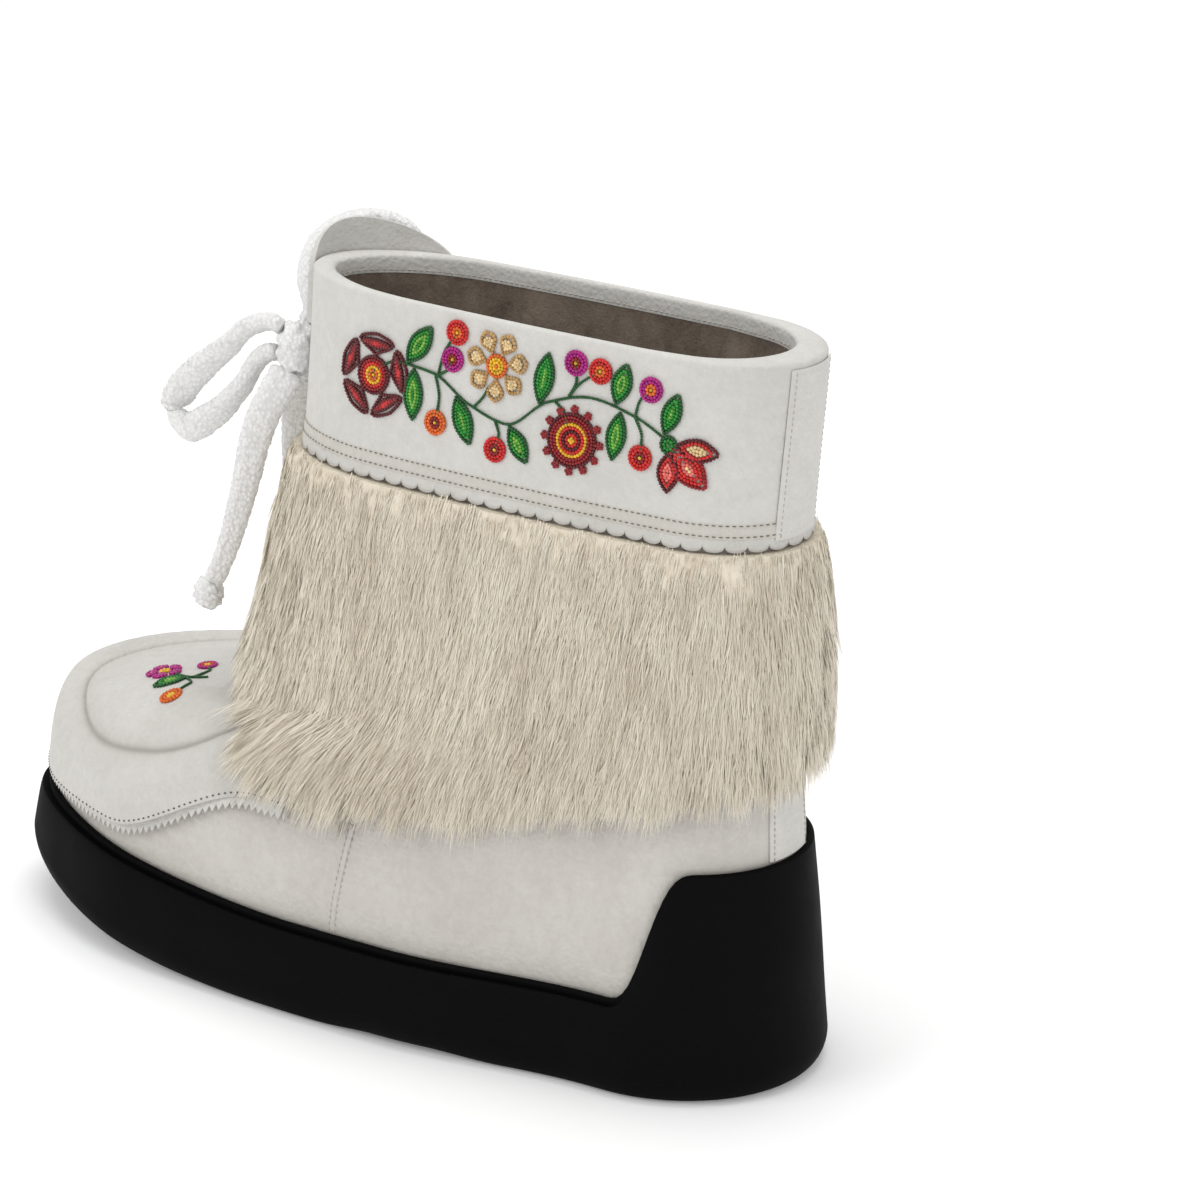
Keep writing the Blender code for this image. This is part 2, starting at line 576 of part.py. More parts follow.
def build_fur_band():
    """Deep fur round the ankle: a hide side, a bulging face and staggered locks."""
    turns = np.arange(COLUMNS * 2) / (COLUMNS * 2) * FULL_TURN
    lock = 0.5 + 0.5 * np.cos(turns * COLUMNS)
    uneven, times = LOCK_UNEVEN
    drop = LOCK_DROP * lock * (1 - uneven + uneven * np.sin(turns * times))
    low = level_at(fur_low(turns), turns)
    low = down_along(low, turns, drop)
    high = level_at(HEM_HEIGHT - SCALLOP_DEPTH - 2 * CLEARANCE, turns)
    levels = keep_rows(clipped(low, high, turns))
    part = (levels - low) / (high - low)
    below, above = FUR_ROUND
    bulge = end_round(part / below) * (FUR_NECK + (1 - FUR_NECK) * end_round((1 - part) / above))
    slant, wander, often = LOCK_SLANT
    phase = np.arange(len(levels))[:, None] * slant * FULL_TURN + wander * np.sin(turns * often)
    locks = LOCK_DEPTH * np.cos(turns * COLUMNS / 2 + phase)
    depth = FUR_GAP + FUR_EDGE + (FUR_DEPTH - FUR_EDGE + locks) * bulge
    outer = skin(levels, turns, depth)
    inner = skin(keep_rows(clipped(low, high, turns, 2)), turns, FUR_GAP)
    return new_object("fur_band", sweep(np.concatenate([outer, inner[::-1]]), True), "fur_band")


def build_cuff():
    """Leather cuff: scalloped hem, smooth band and a fold over the collar."""
    per = SCALLOPS * 2
    turns = even_turns(per)
    hem = HEM_HEIGHT - SCALLOP_DEPTH * (np.arange(per) % 2)
    far = CLEARANCE + CUFF_THICKNESS
    inside = -WALL - CLEARANCE
    hem_level = level_at(hem, turns)
    top = float(COLLAR_RING)
    turned = level_at(COLLAR_HEIGHT - CUFF_TURN_IN, turns)
    lift = np.array([0, 0, 1.0])
    crest = lift * (CLEARANCE + CUFF_THICKNESS)
    section = [
        skin(hem_level, turns, far), skin(top, turns, far), skin(top, turns, -WALL * CUFF_CREST[0]) + crest,
        skin(top, turns, -WALL * CUFF_CREST[1]) + crest, skin(top, turns, inside - CUFF_THICKNESS),
        skin(turned, turns, inside - CUFF_THICKNESS), skin(turned, turns, inside),
        skin(top, turns, inside) + lift * CLEARANCE, skin(top, turns, CLEARANCE) + lift * CLEARANCE,
        skin(hem_level, turns, CLEARANCE),
    ]
    return new_object("cuff", sweep(np.array(section), True), "cuff")


def even_turns(count):
    """Turns spaced evenly along the collar, so that scallops are alike."""
    tries = np.linspace(0, FULL_TURN, 1441)
    path = skin(float(COLLAR_RING), tries, 0.0)
    walked = np.concatenate([[0], np.cumsum(np.linalg.norm(np.diff(path, axis=0), axis=1))])
    return np.interp(np.arange(count) / count * walked[-1], walked, tries)


def strip_turns(level, width, count):
    """Turns of a strip of even width across the back."""
    tries = np.linspace(0, math.pi / 2, 400)
    path = skin(level, tries, 0.0)
    walked = np.concatenate([[0], np.cumsum(np.linalg.norm(np.diff(path, axis=0), axis=1))])
    half = np.interp(width / 2, walked, tries)
    return np.linspace(-half, half, count)


def patch(name, kind, low, high, turns, near, thickness):
    """Flat piece laid on the skin between two edges."""
    levels = keep_rows(clipped(low, high, turns))
    outer = skin(levels, turns, near + thickness)
    inner = skin(levels, turns, near)
    return new_object(name, sweep(np.concatenate([outer, inner[::-1]]), False), kind)


def build_back_stays():
    """Flat stays down the back: one on the cuff, one between the fur and the heel cup."""
    turns = strip_turns(float(COLLAR_RING), STAY_WIDTH, STAY_COLUMNS)
    above, below = STAY_INSET
    low = level_at(HEM_HEIGHT + above, turns)
    high = level_at(COLLAR_HEIGHT - below, turns)
    near = CLEARANCE + CUFF_THICKNESS + TAB_GAP
    patch("cuff_back_stay", "stay", low, high, turns, near, STAY_THICKNESS)
    turns = strip_turns(STAY_LEVEL, STAY_WIDTH, STAY_COLUMNS)
    above, under = HEEL_STAY_ENDS
    low = level_at(lip_height(turns) + above, turns)
    high = level_at(fur_low(turns) + under, turns)
    patch("heel_stay", "stay", low, high, turns, CLEARANCE, HEEL_STAY_THICKNESS)


def build_front_tab():
    """Round-topped leather tab on the front of the cuff, standing above the collar."""
    before, after = TAB_TURNS
    turns = np.linspace(math.pi - before, math.pi + after, TAB_COLUMNS)
    arch = end_round(1 - np.abs(np.linspace(-1, 1, TAB_COLUMNS)))
    crown = COLLAR_HEIGHT + TAB_RISE * arch - TAB_SHOULDER * (1 - arch)
    high = level_at(crown, turns)
    low = level_at(COLLAR_HEIGHT - TAB_DROP, turns)
    near = CLEARANCE + CUFF_THICKNESS + CLEARANCE + TAB_GAP
    return patch("front_tab", "cuff", low, high, turns, near, TAB_THICKNESS)


def knot_middle():
    """Centre of the knot, which rests on the front of the cuff."""
    turn = math.pi - KNOT_SIDE
    stand_off = CUFF_THICKNESS + 2 * CLEARANCE + KNOT_RADII[0]
    return skin(level_at(KNOT_HEIGHT, np.array(turn)), np.array(turn), stand_off)


def place(offset):
    """World point of a point given forward, outward and upward of the knot."""
    return knot_middle() + np.array([offset[1], -offset[0], offset[2]])


def seat(direction):
    """Two points straight out of the knot's surface, the first on its seat."""
    direction, radii = np.array(direction), np.array(KNOT_RADII)
    surface = direction / np.linalg.norm(direction / radii)
    normal = surface / radii**2
    normal /= np.linalg.norm(normal)
    near = surface + normal * 1.5 * CLEARANCE
    return [near, near + normal * LACE_START]


def tube(name, seats, middle, points):
    """Soft tie as a round tube through a smooth curve of its hand-chosen points."""
    route = seat(seats[0]) + list(middle)
    for last in seats[1:]:
        route += seat(last)[::-1]
    route = np.array([place(offset) for offset in route])
    walked = np.concatenate([[0], np.cumsum(np.linalg.norm(np.diff(route, axis=0), axis=1))])
    curve_points = through(walked, route, np.linspace(0, walked[-1], points))
    curve = bpy.data.curves.new(name, "CURVE")
    curve.dimensions = "3D"
    spline = curve.splines.new("POLY")
    spline.points.add(points - 1)
    for spline_point, co in zip(spline.points, curve_points):
        spline_point.co = (*co, 1)
    curve.bevel_depth = LACE_RADIUS
    curve.bevel_resolution = 1
    curve.use_fill_caps = True
    guide = bpy.data.objects.new(name + "_path", curve)
    boot.objects.link(guide)
    mesh = bpy.data.meshes.new_from_object(guide.evaluated_get(bpy.context.evaluated_depsgraph_get()))
    data = bmesh.new()
    data.from_mesh(mesh)
    bmesh.ops.remove_doubles(data, verts=data.verts, dist=0.00001)
    bmesh.ops.recalc_face_normals(data, faces=data.faces)
    bpy.data.objects.remove(guide)
    bpy.data.meshes.remove(mesh)
    new_object(name, data, "lace")
    return curve_points


def through(walked, route, at):
    """Smooth curve through every route point."""
    slope = np.gradient(route, walked, axis=0)
    span = np.clip(np.searchsorted(walked, at, side="right") - 1, 0, len(walked) - 2)
    wide = (walked[span + 1] - walked[span])[:, None]
    part = (at - walked[span])[:, None] / wide
    return cubic(part, wide, route[span], route[span + 1], slope[span], slope[span + 1])


def ball(name, centre, radii):
    """Rounded knot."""
    data = bmesh.new()
    bmesh.ops.create_uvsphere(data, u_segments=10, v_segments=7, radius=1)
    for vert in data.verts:
        vert.co = [centre[axis] + vert.co[axis] * radii[axis] for axis in range(3)]
    return new_object(name, data, "lace")


def build_laces():
    """Bow at the front: knot, two loops and two ends with knotted tips."""
    forward, outward, upward = KNOT_RADII
    ball("lace_knot", knot_middle(), (outward, forward, upward))
    tube("lace_loop_outer", OUTER_LOOP_SEATS, OUTER_LOOP, LOOP_POINTS)
    tube("lace_loop_inner", INNER_LOOP_SEATS, INNER_LOOP, LOOP_POINTS)
    ends = (("outer", OUTER_END_SEATS, OUTER_END), ("inner", INNER_END_SEATS, INNER_END))
    for side, seats, route in ends:
        points = tube("lace_end_" + side, seats, route, END_POINTS)
        last = points[-1] - points[-2]
        last /= np.linalg.norm(last)
        tall = TIP_RADIUS * TIP_STRETCH
        ball("lace_tip_" + side, points[-1] + last * (tall + CLEARANCE), (TIP_RADIUS, TIP_RADIUS, tall))


def clear_scene():
    """Start from an empty scene."""
    for obj in list(bpy.data.objects):
        bpy.data.objects.remove(obj, do_unlink=True)


clear_scene()
boot = bpy.data.collections.new("mukluk_boot")
cutters = bpy.data.collections.new("cutters")
bpy.context.scene.collection.children.link(boot)
bpy.context.scene.collection.children.link(cutters)

build_outsole()
build_upper()
build_insole()
build_toe_overlay()
build_fur_band()
build_cuff()
build_back_stays()
build_front_tab()
build_laces()
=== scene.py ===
"""Looks of one left mukluk boot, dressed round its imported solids.

Metres, +Z up. The toe points to -Y and the outer side of the left foot to +X.
The sizes and rings repeat the part's own, at a finer step.
"""
import math

import bmesh
import bpy
import numpy as np
from mathutils import Matrix, Vector


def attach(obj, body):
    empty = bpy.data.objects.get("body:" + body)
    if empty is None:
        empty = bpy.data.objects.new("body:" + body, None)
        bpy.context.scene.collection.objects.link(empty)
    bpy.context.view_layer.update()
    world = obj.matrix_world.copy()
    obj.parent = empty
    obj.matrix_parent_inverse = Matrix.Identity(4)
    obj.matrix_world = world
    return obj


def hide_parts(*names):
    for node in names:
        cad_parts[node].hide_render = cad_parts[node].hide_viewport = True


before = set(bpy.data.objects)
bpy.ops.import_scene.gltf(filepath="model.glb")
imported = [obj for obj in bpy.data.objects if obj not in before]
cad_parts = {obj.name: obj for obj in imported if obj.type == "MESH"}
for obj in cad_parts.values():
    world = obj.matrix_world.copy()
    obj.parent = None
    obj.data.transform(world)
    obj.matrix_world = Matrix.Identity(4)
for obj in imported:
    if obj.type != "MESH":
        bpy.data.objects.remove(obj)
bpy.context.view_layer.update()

# Sizes of the part
LENGTH = 0.294
BALL_WIDTH = 0.092
TOE_HEIGHT = 0.080
INSTEP_HEIGHT = 0.085
COLLAR_HEIGHT = 0.2265
HEM_HEIGHT, MID_CUFF = 0.172, 0.200
SHAFT_DEPTH = 0.172
SHAFT_WIDTH = 0.050
WALL = 0.0028
CLEARANCE = 0.0003
LENGTHWISE_CENTRE = 0.5025
SIDE_CENTRE = 0.00085
BACK_SET = 0.0115
CROWDING = 0.30
HEEL_FLOOR = 0.023
TOE_FLOOR = 0.018

FOOT_COLUMNS = ("back", "back_height", "front", "front_height", "heel", "mid_out", "mid_in",
                "fore_out", "fore_in", "back_round", "front_round", "toe_in", "lift")
FOOT_ROWS = (
    (0.041, 0.290, 0.972, 0.230, 0.39, 0.48, 0.39, 0.485, 0.455, 0.40, 0.66, 0.085, 1.0),
    (0.037, 0.540, 0.984, 0.480, 0.40, 0.51, 0.41, 0.510, 0.490, 0.42, 0.70, 0.085, 1.3),
    (0.038, 0.890, 0.976, 0.700, 0.39, 0.49, 0.41, 0.490, 0.470, 0.41, 0.70, 0.085, 1.0),
    (0.041, 1.150, 0.944, 0.895, 0.36, 0.44, 0.39, 0.425, 0.405, 0.39, 0.64, 0.085, 1.0),
    (0.041, 1.320, 0.850, 0.985, 0.34, 0.40, 0.37, 0.360, 0.330, 0.37, 0.54, 0.065, 1.0),
)
SHAFT_ROWS = (
    (0.000, 0.235, 1.177, 0.000, 0.600, 0.680, 0.620, 0.620, 0.540, 0.640, 0.860, 0.060, 1.0),
    (0.000, 0.350, 1.078, 0.165, 0.560, 0.620, 0.580, 0.580, 0.520, 0.600, 0.760, 0.020, 1.0),
    (0.003, 0.480, 1.030, 0.385, 0.520, 0.560, 0.540, 0.540, 0.500, 0.600, 0.720, 0.000, 1.0),
    (0.004, 0.610, 1.000, 0.610, 0.490, 0.520, 0.510, 0.500, 0.480, 0.560, 0.680, 0.000, 1.0),
    (-0.020, 1.000, 0.978, 1.000, 0.465, 0.480, 0.480, 0.460, 0.460, 0.560, 0.680, 0.000, 1.0),
    (-0.028, 1.200, 0.972, 1.200, 0.465, 0.480, 0.480, 0.460, 0.460, 0.560, 0.680, 0.000, 1.0),
)
WIDTH_SHARES = (0.0, 0.16, 0.42, 0.70, 1.0)
FUR_SHARES = (0.0, 0.12, 0.35, 0.50, 0.60, 0.70, 0.80, 1.0)
FUR_HEIGHTS = (1.13, 1.06, 0.86, 0.775, 0.775, 0.96, 1.01, 1.02)
GROOVES = ((0.08, 0.0), (0.14, 0.0), (0.20, 0.0), (0.52, -0.12), (0.58, -0.09), (0.64, -0.06),
           (0.70, -0.03), (0.76, 0.0))

# Outsole
LIP_HEIGHT = 0.029
TOE_LIP_RISE = 0.0085
HEEL_CUP_HEIGHT = 0.072
CUP_TOP, CUP_FOOT = 0.050, 0.150
LIP_WALL = 0.0024
SOLE_FLARE = 0.0060
TOE_SPRING, SPRING_SHARE = 0.015, 0.59
ARCH_RISE = 0.0012

# Sewn pieces
OVERLAY_THICKNESS, OVERLAY_GAP = 0.0015, 0.0007
OVERLAY_REACH = 0.2375
PINKED_TEETH, PINKED_DEPTH = 112, 0.0021
PINKED_ROWS = (
    # height above the edge, share of the cut, lift off the skin
    (0.0026, 0, 0.0), (0.0014, 0, 0.0004), (0.0004, 0.30, 0.0007), (-0.0004, 1.0, 0.0008),
    (-0.0004, 1.0, 0.0003), (0.0004, 0.30, 0.0001), (0.0026, 0, -0.0004),
)
PLUG_LENGTH, PLUG_WIDTH, PLUG_SHARE, PLUG_SIDE = 0.110, 0.070, 0.7235, -0.0035
CUFF_THICKNESS, CUFF_TURN_IN = 0.0015, 0.0042
RIM_INSIDE = 0.0010
HEM_FLARE = 0.0007
HEM_BAND_ROWS = (
    # height above the hem, lift off the leather
    (0.0026, -0.0002), (0.0030, 0.00018), (0.0052, 0.00026), (0.0074, 0.00018), (0.0078, -0.0002),
)
SCALLOPS, SCALLOP_POINTS = 64, 12
SEAM_FOOT, SEAM_LEAN, SEAM_GAP = 0.1450, 0.20, 0.0022
STAY_WIDTH, FINE_STITCH = 0.020, 0.0019
TAB_RISE, TAB_DROP, TAB_SHOULDER, TAB_THICKNESS = 0.0115, 0.0195, 0.0040, 0.0018
TAB_TURNS = (0.16, 1.02)
FUR_DEPTH, FUR_GAP = 0.0095, 0.0012
TUFT_HAIRS, TUFT_KINDS, FUR_DENSITY = 24, 8, 152000.0
FUR_STRETCHES = (
    # name, first and last column of the hide
    ("outer_back", 0, 60), ("outer_front", 60, 144), ("inner_front", 144, 228), ("inner_back", 228, 288),
)
KNOT_RADII = (0.0060, 0.0070, 0.0080)
KNOT_HEIGHT, KNOT_SIDE = 0.1975, 0.06
KNOT_LUMPS = 0.08
LACE_START = 0.0030
TIE_HALF_WIDTH, TIE_HALF_DEPTH = 0.0054, 0.0029
TIP_RADIUS = 0.0048

# Routes of the tie from its knot: forward, outward and upward
OUTER_LOOP_SEATS = ((1.0, 0.15, 1.0), (1.0, 0.30, -0.38))
OUTER_LOOP = ((0.016, 0.002, 0.0045), (0.0255, 0.003, -0.004), (0.0345, 0.004, -0.0120),
              (0.0410, 0.005, -0.0195), (0.0435, 0.006, -0.0270), (0.0390, 0.006, -0.0315),
              (0.0300, 0.005, -0.0265), (0.0200, 0.004, -0.0165))
INNER_LOOP_SEATS = ((-0.05, -0.60, 1.0), (0.45, -1.0, 0.10))
INNER_LOOP = ((0.0035, -0.009, 0.0190), (0.0035, -0.014, 0.0285), (-0.002, -0.021, 0.0350),
              (-0.011, -0.026, 0.0370), (-0.020, -0.0295, 0.0335), (-0.023, -0.032, 0.0255),
              (-0.018, -0.032, 0.0175), (-0.008, -0.0295, 0.010), (0.002, -0.022, 0.004))
OUTER_END_SEATS = ((0.15, 0.55, -1.0),)
OUTER_END = ((0.0075, 0.008, -0.021), (0.0110, 0.008, -0.030), (0.0150, 0.0075, -0.044),
             (0.0195, 0.007, -0.058), (0.0245, 0.0065, -0.071), (0.0295, 0.006, -0.0810))
INNER_END_SEATS = ((0.40, -0.65, -1.0),)
INNER_END = ((0.010, -0.011, -0.018), (0.013, -0.016, -0.026), (0.016, -0.019, -0.038),
             (0.018, -0.021, -0.050), (0.020, -0.021, -0.062))
FULL_TURN = 2 * math.pi
FRAME_PIXELS = 1200


# Camera, light, floor
def in_scene(name, data):
    """New object in the scene."""
    obj = bpy.data.objects.new(name, data)
    bpy.context.scene.collection.objects.link(obj)
    return obj


def aim_camera():
    """Camera at the photograph's angle and distance. The boot stands left of the frame's middle."""
    azimuth, elevation = math.radians(125), math.radians(20.5)
    distance, focal_pixels = 1.560, 5080.0
    target, target_pixel = Vector((SIDE_CENTRE, 0.0052, 0.120)), (428.0, 614.0)
    back = Vector((math.sin(azimuth) * math.cos(elevation), -math.cos(azimuth) * math.cos(elevation),
                   math.sin(elevation)))
    right = Vector((math.cos(azimuth), math.sin(azimuth), 0))
    up = back.cross(right)
    sideways, upwards = FRAME_PIXELS / 2 - target_pixel[0], target_pixel[1] - FRAME_PIXELS / 2
    ahead = -back + right * sideways / focal_pixels + up * upwards / focal_pixels
    turned = (-back).rotation_difference(ahead).to_matrix() @ Matrix((right, up, back)).transposed()
    data = bpy.data.cameras.new("camera")
    data.sensor_width = 36
    data.lens = data.sensor_width * focal_pixels / FRAME_PIXELS
    data.clip_start, data.clip_end = 0.05, 50
    camera = in_scene("camera", data)
    camera.matrix_world = Matrix.Translation(target + back * distance) @ turned.to_4x4()
    bpy.context.scene.camera = camera


def soft_light(name, place, size, power):
    """Square soft box that looks at the boot."""
    data = bpy.data.lights.new(name, "AREA")
    data.size, data.energy = size, power
    light = in_scene(name, data)
    light.location = place
    light.rotation_euler = (Vector((0, 0, 0.1)) - Vector(place)).to_track_quat("-Z", "Y").to_euler()


aim_camera()


# Nodes as expressions
class Wire:
    """An output socket that can stand in sums."""

    def __init__(self, net, socket):
        self.net, self.socket = net, socket

    def sum(self, operation, first, second):
        return self.net.node(self.net.maths, {"operation": operation}, {0: first, 1: second})

    def __add__(self, other):
        return self.sum("ADD", self, other)

    def __rsub__(self, other):
        return self.sum("SUBTRACT", other, self)

    def __mul__(self, other):
        return self.sum("MULTIPLY", self, other)


class Net:
    """A node tree with one way to add a node."""

    maths = "ShaderNodeMath"

    def __init__(self, tree):
        self.tree = tree

    def node(self, kind, settings=None, sockets=None, out=0):
        """Add a node: its settings first, then the values or links of its sockets."""
        made = self.tree.nodes.new(kind)
        for name, value in (settings or {}).items():
            if name == "stops":
                while len(made.color_ramp.elements) < len(value):
                    made.color_ramp.elements.new(0.5)
                for element, (place, colour) in zip(made.color_ramp.elements, value):
                    element.position, element.color = place, (*colour, 1)
            else:
                setattr(made, name, value)
        for name, value in (sockets or {}).items():
            if isinstance(value, Wire):
                self.tree.links.new(value.socket, made.inputs[name])
            else:
                made.inputs[name].default_value = value
        return Wire(self, made.outputs[out])

    def other(self, wire, out):
        """Another output of a wire's node."""
        return Wire(self, wire.socket.node.outputs[out])


class Finish(Net):
    """A Principled material under construction."""

    def __init__(self, name, **plain):
        self.material = bpy.data.materials.new(name)
        self.material.use_nodes = True
        super().__init__(self.material.node_tree)
        self.shader = self.tree.nodes["Principled BSDF"]
        for socket, value in plain.items():
            self.shader.inputs[socket.replace("_", " ")].default_value = value

    def feed(self, **wires):
        for socket, wire in wires.items():
            self.tree.links.new(wire.socket, self.shader.inputs[socket.replace("_", " ")])
        return self.material

    def where(self, stretch=(1, 1, 1)):
        """Object coordinates, stretched."""
        place = self.node("ShaderNodeTexCoord", out="Object")
        return self.node("ShaderNodeMapping", None, {"Vector": place, "Scale": stretch})

    def noise(self, place, scale, detail=3.0, rough=0.55, warp=0.0):
        return self.node("ShaderNodeTexNoise", None,
                         {"Vector": place, "Scale": scale, "Detail": detail, "Roughness": rough,
                          "Distortion": warp}, out=0)

    def cells(self, place, scale, feature="F1", smooth=None):
        settings = {"feature": feature}
        sockets = {"Vector": place, "Scale": scale}
        if smooth is not None:
            sockets["Smoothness"] = smooth
        return self.node("ShaderNodeTexVoronoi", settings, sockets, out=0)

    def spread(self, value, low, high, to_low=0.0, to_high=1.0):
        """Remap a value, clamped."""
        ends = {"From Min": low, "From Max": high, "To Min": to_low, "To Max": to_high}
        return self.node("ShaderNodeMapRange", None, {"Value": value, **ends})

    def mix(self, share, first, second):
        """Mix two colours."""
        made = {0: share, 6: self.colour(first), 7: self.colour(second)}
        return self.node("ShaderNodeMix", {"data_type": "RGBA"}, made, out=2)

    def attribute(self, name, out="Fac"):
        return self.node("ShaderNodeAttribute", {"attribute_name": name}, out=out)

    def bump(self, height, depth, strength=1.0):
        return self.node("ShaderNodeBump", None, {"Height": height, "Distance": depth, "Strength": strength})

    @staticmethod
    def colour(value):
        return value if isinstance(value, Wire) else (*value, 1.0)


def leather_finish(name, light, shade, rough, grain):
    """Grained leather: fine pebbles, soft mottling and faint scuffs, with painted shade where the mesh asks
    for it.
    """
    skin_side = Finish(name, Sheen_Weight=0.12, Sheen_Roughness=0.5, Specular_IOR_Level=0.35)
    place = skin_side.where()
    pebbles = skin_side.cells(place, grain, "SMOOTH_F1", 0.6)
    pores = skin_side.noise(place, grain * 2.2, 3, 0.6)
    mottle = skin_side.noise(place, 38, 5, 0.6, 0.4)
    fine = skin_side.noise(place, 320, 4, 0.7)
    tone = skin_side.spread(mottle * 0.5 + fine * 0.5, 0.38, 0.62)
    colour = skin_side.mix(tone, shade, light)
    # Painted shade: a value stored on each mesh point darkens the colour towards dark brown where shade
    # falls. This is by the sole's lip, under the fur and the toe overlay's edge, in the plug's seam groove
    # and along the cuff's hem.
    colour = skin_side.mix(skin_side.attribute("crease"), colour, (0.24, 0.215, 0.185))
    height = pebbles * 0.6 + pores * 0.4 + mottle * 0.8
    dullness = skin_side.spread(fine, 0.3, 0.7, rough - 0.07, rough + 0.07)
    return skin_side.feed(Base_Color=colour, Roughness=dullness, Normal=skin_side.bump(height, 0.0006, 0.65))


def fleece_finish():
    """Short taupe pile with soft clumps and painted shade of vertical folds."""
    pile = Finish("fleece_pile", Sheen_Weight=0.12, Sheen_Roughness=0.6, Specular_IOR_Level=0.1,
                  Roughness=0.95)
    place = pile.where()
    clumps = pile.noise(place, 150, 4, 0.65, 0.6)
    threads = pile.noise(place, 1100, 3, 0.7)
    # Noise stretched tall paints light and dark vertical stripes: painted shade of the lining's folds.
    wide = pile.noise(pile.where((1, 1, 0.18)), 60, 3, 0.5)
    tone = pile.spread(clumps * 0.35 + threads * 0.2 + wide * 0.45, 0.36, 0.64)
    colour = pile.mix(tone, (0.105, 0.078, 0.058), (0.255, 0.205, 0.160))
    return pile.feed(Base_Color=colour, Normal=pile.bump(clumps * 0.7 + threads * 0.5, 0.0011, 0.75))


def rubber_finish():
    """Satin black rubber with the faint tooth of its mould."""
    rubber = Finish("sole_rubber", Specular_IOR_Level=0.05)
    place = rubber.where()
    tooth = rubber.noise(place, 1500, 3, 0.6)
    haze = rubber.noise(place, 30, 4, 0.6)
    colour = rubber.mix(haze, (0.0016, 0.0016, 0.0017), (0.0034, 0.0034, 0.0036))
    return rubber.feed(Base_Color=colour, Roughness=rubber.spread(haze, 0.35, 0.65, 0.60, 0.72),
                       Normal=rubber.bump(tooth, 0.00012, 0.45))


def fur_finish(name, base, tip):
    """Fine cream hairs: a little tanner at the root, in soft patches."""
    hair = Finish(name, Sheen_Weight=0.15, Sheen_Roughness=0.4, Specular_IOR_Level=0.15, Roughness=0.7)
    place = hair.where((1, 1, 0.45))
    patches = hair.noise(place, 26, 3, 0.6, 0.4)
    streak = hair.noise(hair.where((1, 1, 0.2)), 150, 3, 0.6, 0.3)
    shade = (hair.attribute("along") * 0.16 + hair.attribute("hair") * 0.24 + hair.attribute("tuft") * 0.12
             + streak * 0.45 + patches * 0.75)
    return hair.feed(Base_Color=hair.mix(hair.spread(shade, 0.36, 0.98), base, tip))


def undercoat_finish():
    """Dense wool under the long hairs."""
    wool = Finish("fur_undercoat", Specular_IOR_Level=0.05, Roughness=0.95)
    place = wool.where((1, 1, 0.3))
    strands = wool.noise(place, 420, 4, 0.7)
    tone = wool.spread(strands, 0.35, 0.65)
    return wool.feed(Base_Color=wool.mix(tone, (0.68, 0.60, 0.475), (0.80, 0.735, 0.615)),
                     Normal=wool.bump(strands, 0.0010, 0.6))


def bead_finish():
    """Glossy glass seed beads, each with its own colour."""
    glass = Finish("seed_bead_glass", Specular_IOR_Level=0.4, Coat_Weight=0.10, Coat_Roughness=0.15)
    tint = glass.attribute("tint", "Color")
    flecks = glass.noise(glass.where(), 900, 2, 0.5)
    colour = glass.mix(glass.spread(flecks, 0.35, 0.65, 0.0, 0.18), tint, (0.02, 0.01, 0.01))
    return glass.feed(Base_Color=colour, Roughness=glass.spread(flecks, 0.3, 0.7, 0.32, 0.48))


def thread_finish(name, light, shade):
    """Twisted sewing thread."""
    thread = Finish(name, Sheen_Weight=0.2, Specular_IOR_Level=0.25, Roughness=0.7)
    twist = thread.noise(thread.where(), 2600, 2, 0.6)
    return thread.feed(Base_Color=thread.mix(thread.spread(twist, 0.35, 0.65), shade, light),
                       Normal=thread.bump(twist, 0.0001, 0.6))


def knit_finish():
    """Soft white knit of the tie: small bobbled stitches and loose fuzz, with painted shade between the
    stitches.
    """
    knit = Finish("tie_knit", Sheen_Weight=0.35, Sheen_Roughness=0.5, Specular_IOR_Level=0.1, Roughness=0.9)
    place = knit.where((1, 1, 0.8))
    bobbles = knit.cells(place, 760, "F1")
    fuzz = knit.noise(place, 1700, 4, 0.7)
    # Painted shade: lighter on the bobbles and on the cord's raised loops, darker in the dips between them.
    # On the knots the loop value is random.
    stitches = 1 - bobbles * 1.25
    tone = knit.spread(stitches * 0.6 + fuzz * 0.3 + knit.attribute("loop") * 0.15, 0.30, 0.85)
    colour = knit.mix(tone, (0.76, 0.755, 0.75), (0.96, 0.955, 0.95))
    return knit.feed(Base_Color=colour, Normal=knit.bump(stitches * 0.8 + fuzz * 0.3, 0.0007, 0.8))


# The boot's skin
def cubic(part, wide, low, high, low_slope, high_slope):
    """Cubic between two values with the given slopes at its ends."""
    square, cube = part**2, part**3
    value = (2 * cube - 3 * square + 1) * low + (3 * square - 2 * cube) * high
    return value + wide * ((cube - 2 * square + part) * low_slope + (cube - square) * high_slope)


def gentle_slopes(rise):
    """Slopes at the inner knots that keep a curve from overshooting."""
    both, total = rise[:-1] * rise[1:], rise[:-1] + rise[1:]
    return np.where(both > 0, 2 * both / np.where(total == 0, 1, total), 0)


def smooth_between(knots, rows, at):
    """Curve through the rows, without overshoot."""
    knots, rows = np.asarray(knots, float), np.asarray(rows, float)
    step = np.diff(knots)
    rise = np.diff(rows, axis=0) / step.reshape((-1,) + (1,) * (rows.ndim - 1))
    slope = np.concatenate([rise[:1], gentle_slopes(rise), rise[-1:]])
    at = np.clip(at, knots[0], knots[-1])
    span = np.clip(np.searchsorted(knots, at, side="right") - 1, 0, len(step) - 1)
    shape = np.shape(at) + (1,) * (rows.ndim - 1)
    part, wide = np.reshape((at - knots[span]) / step[span], shape), np.reshape(step[span], shape)
    return cubic(part, wide, rows[span], rows[span + 1], slope[span], slope[span + 1])


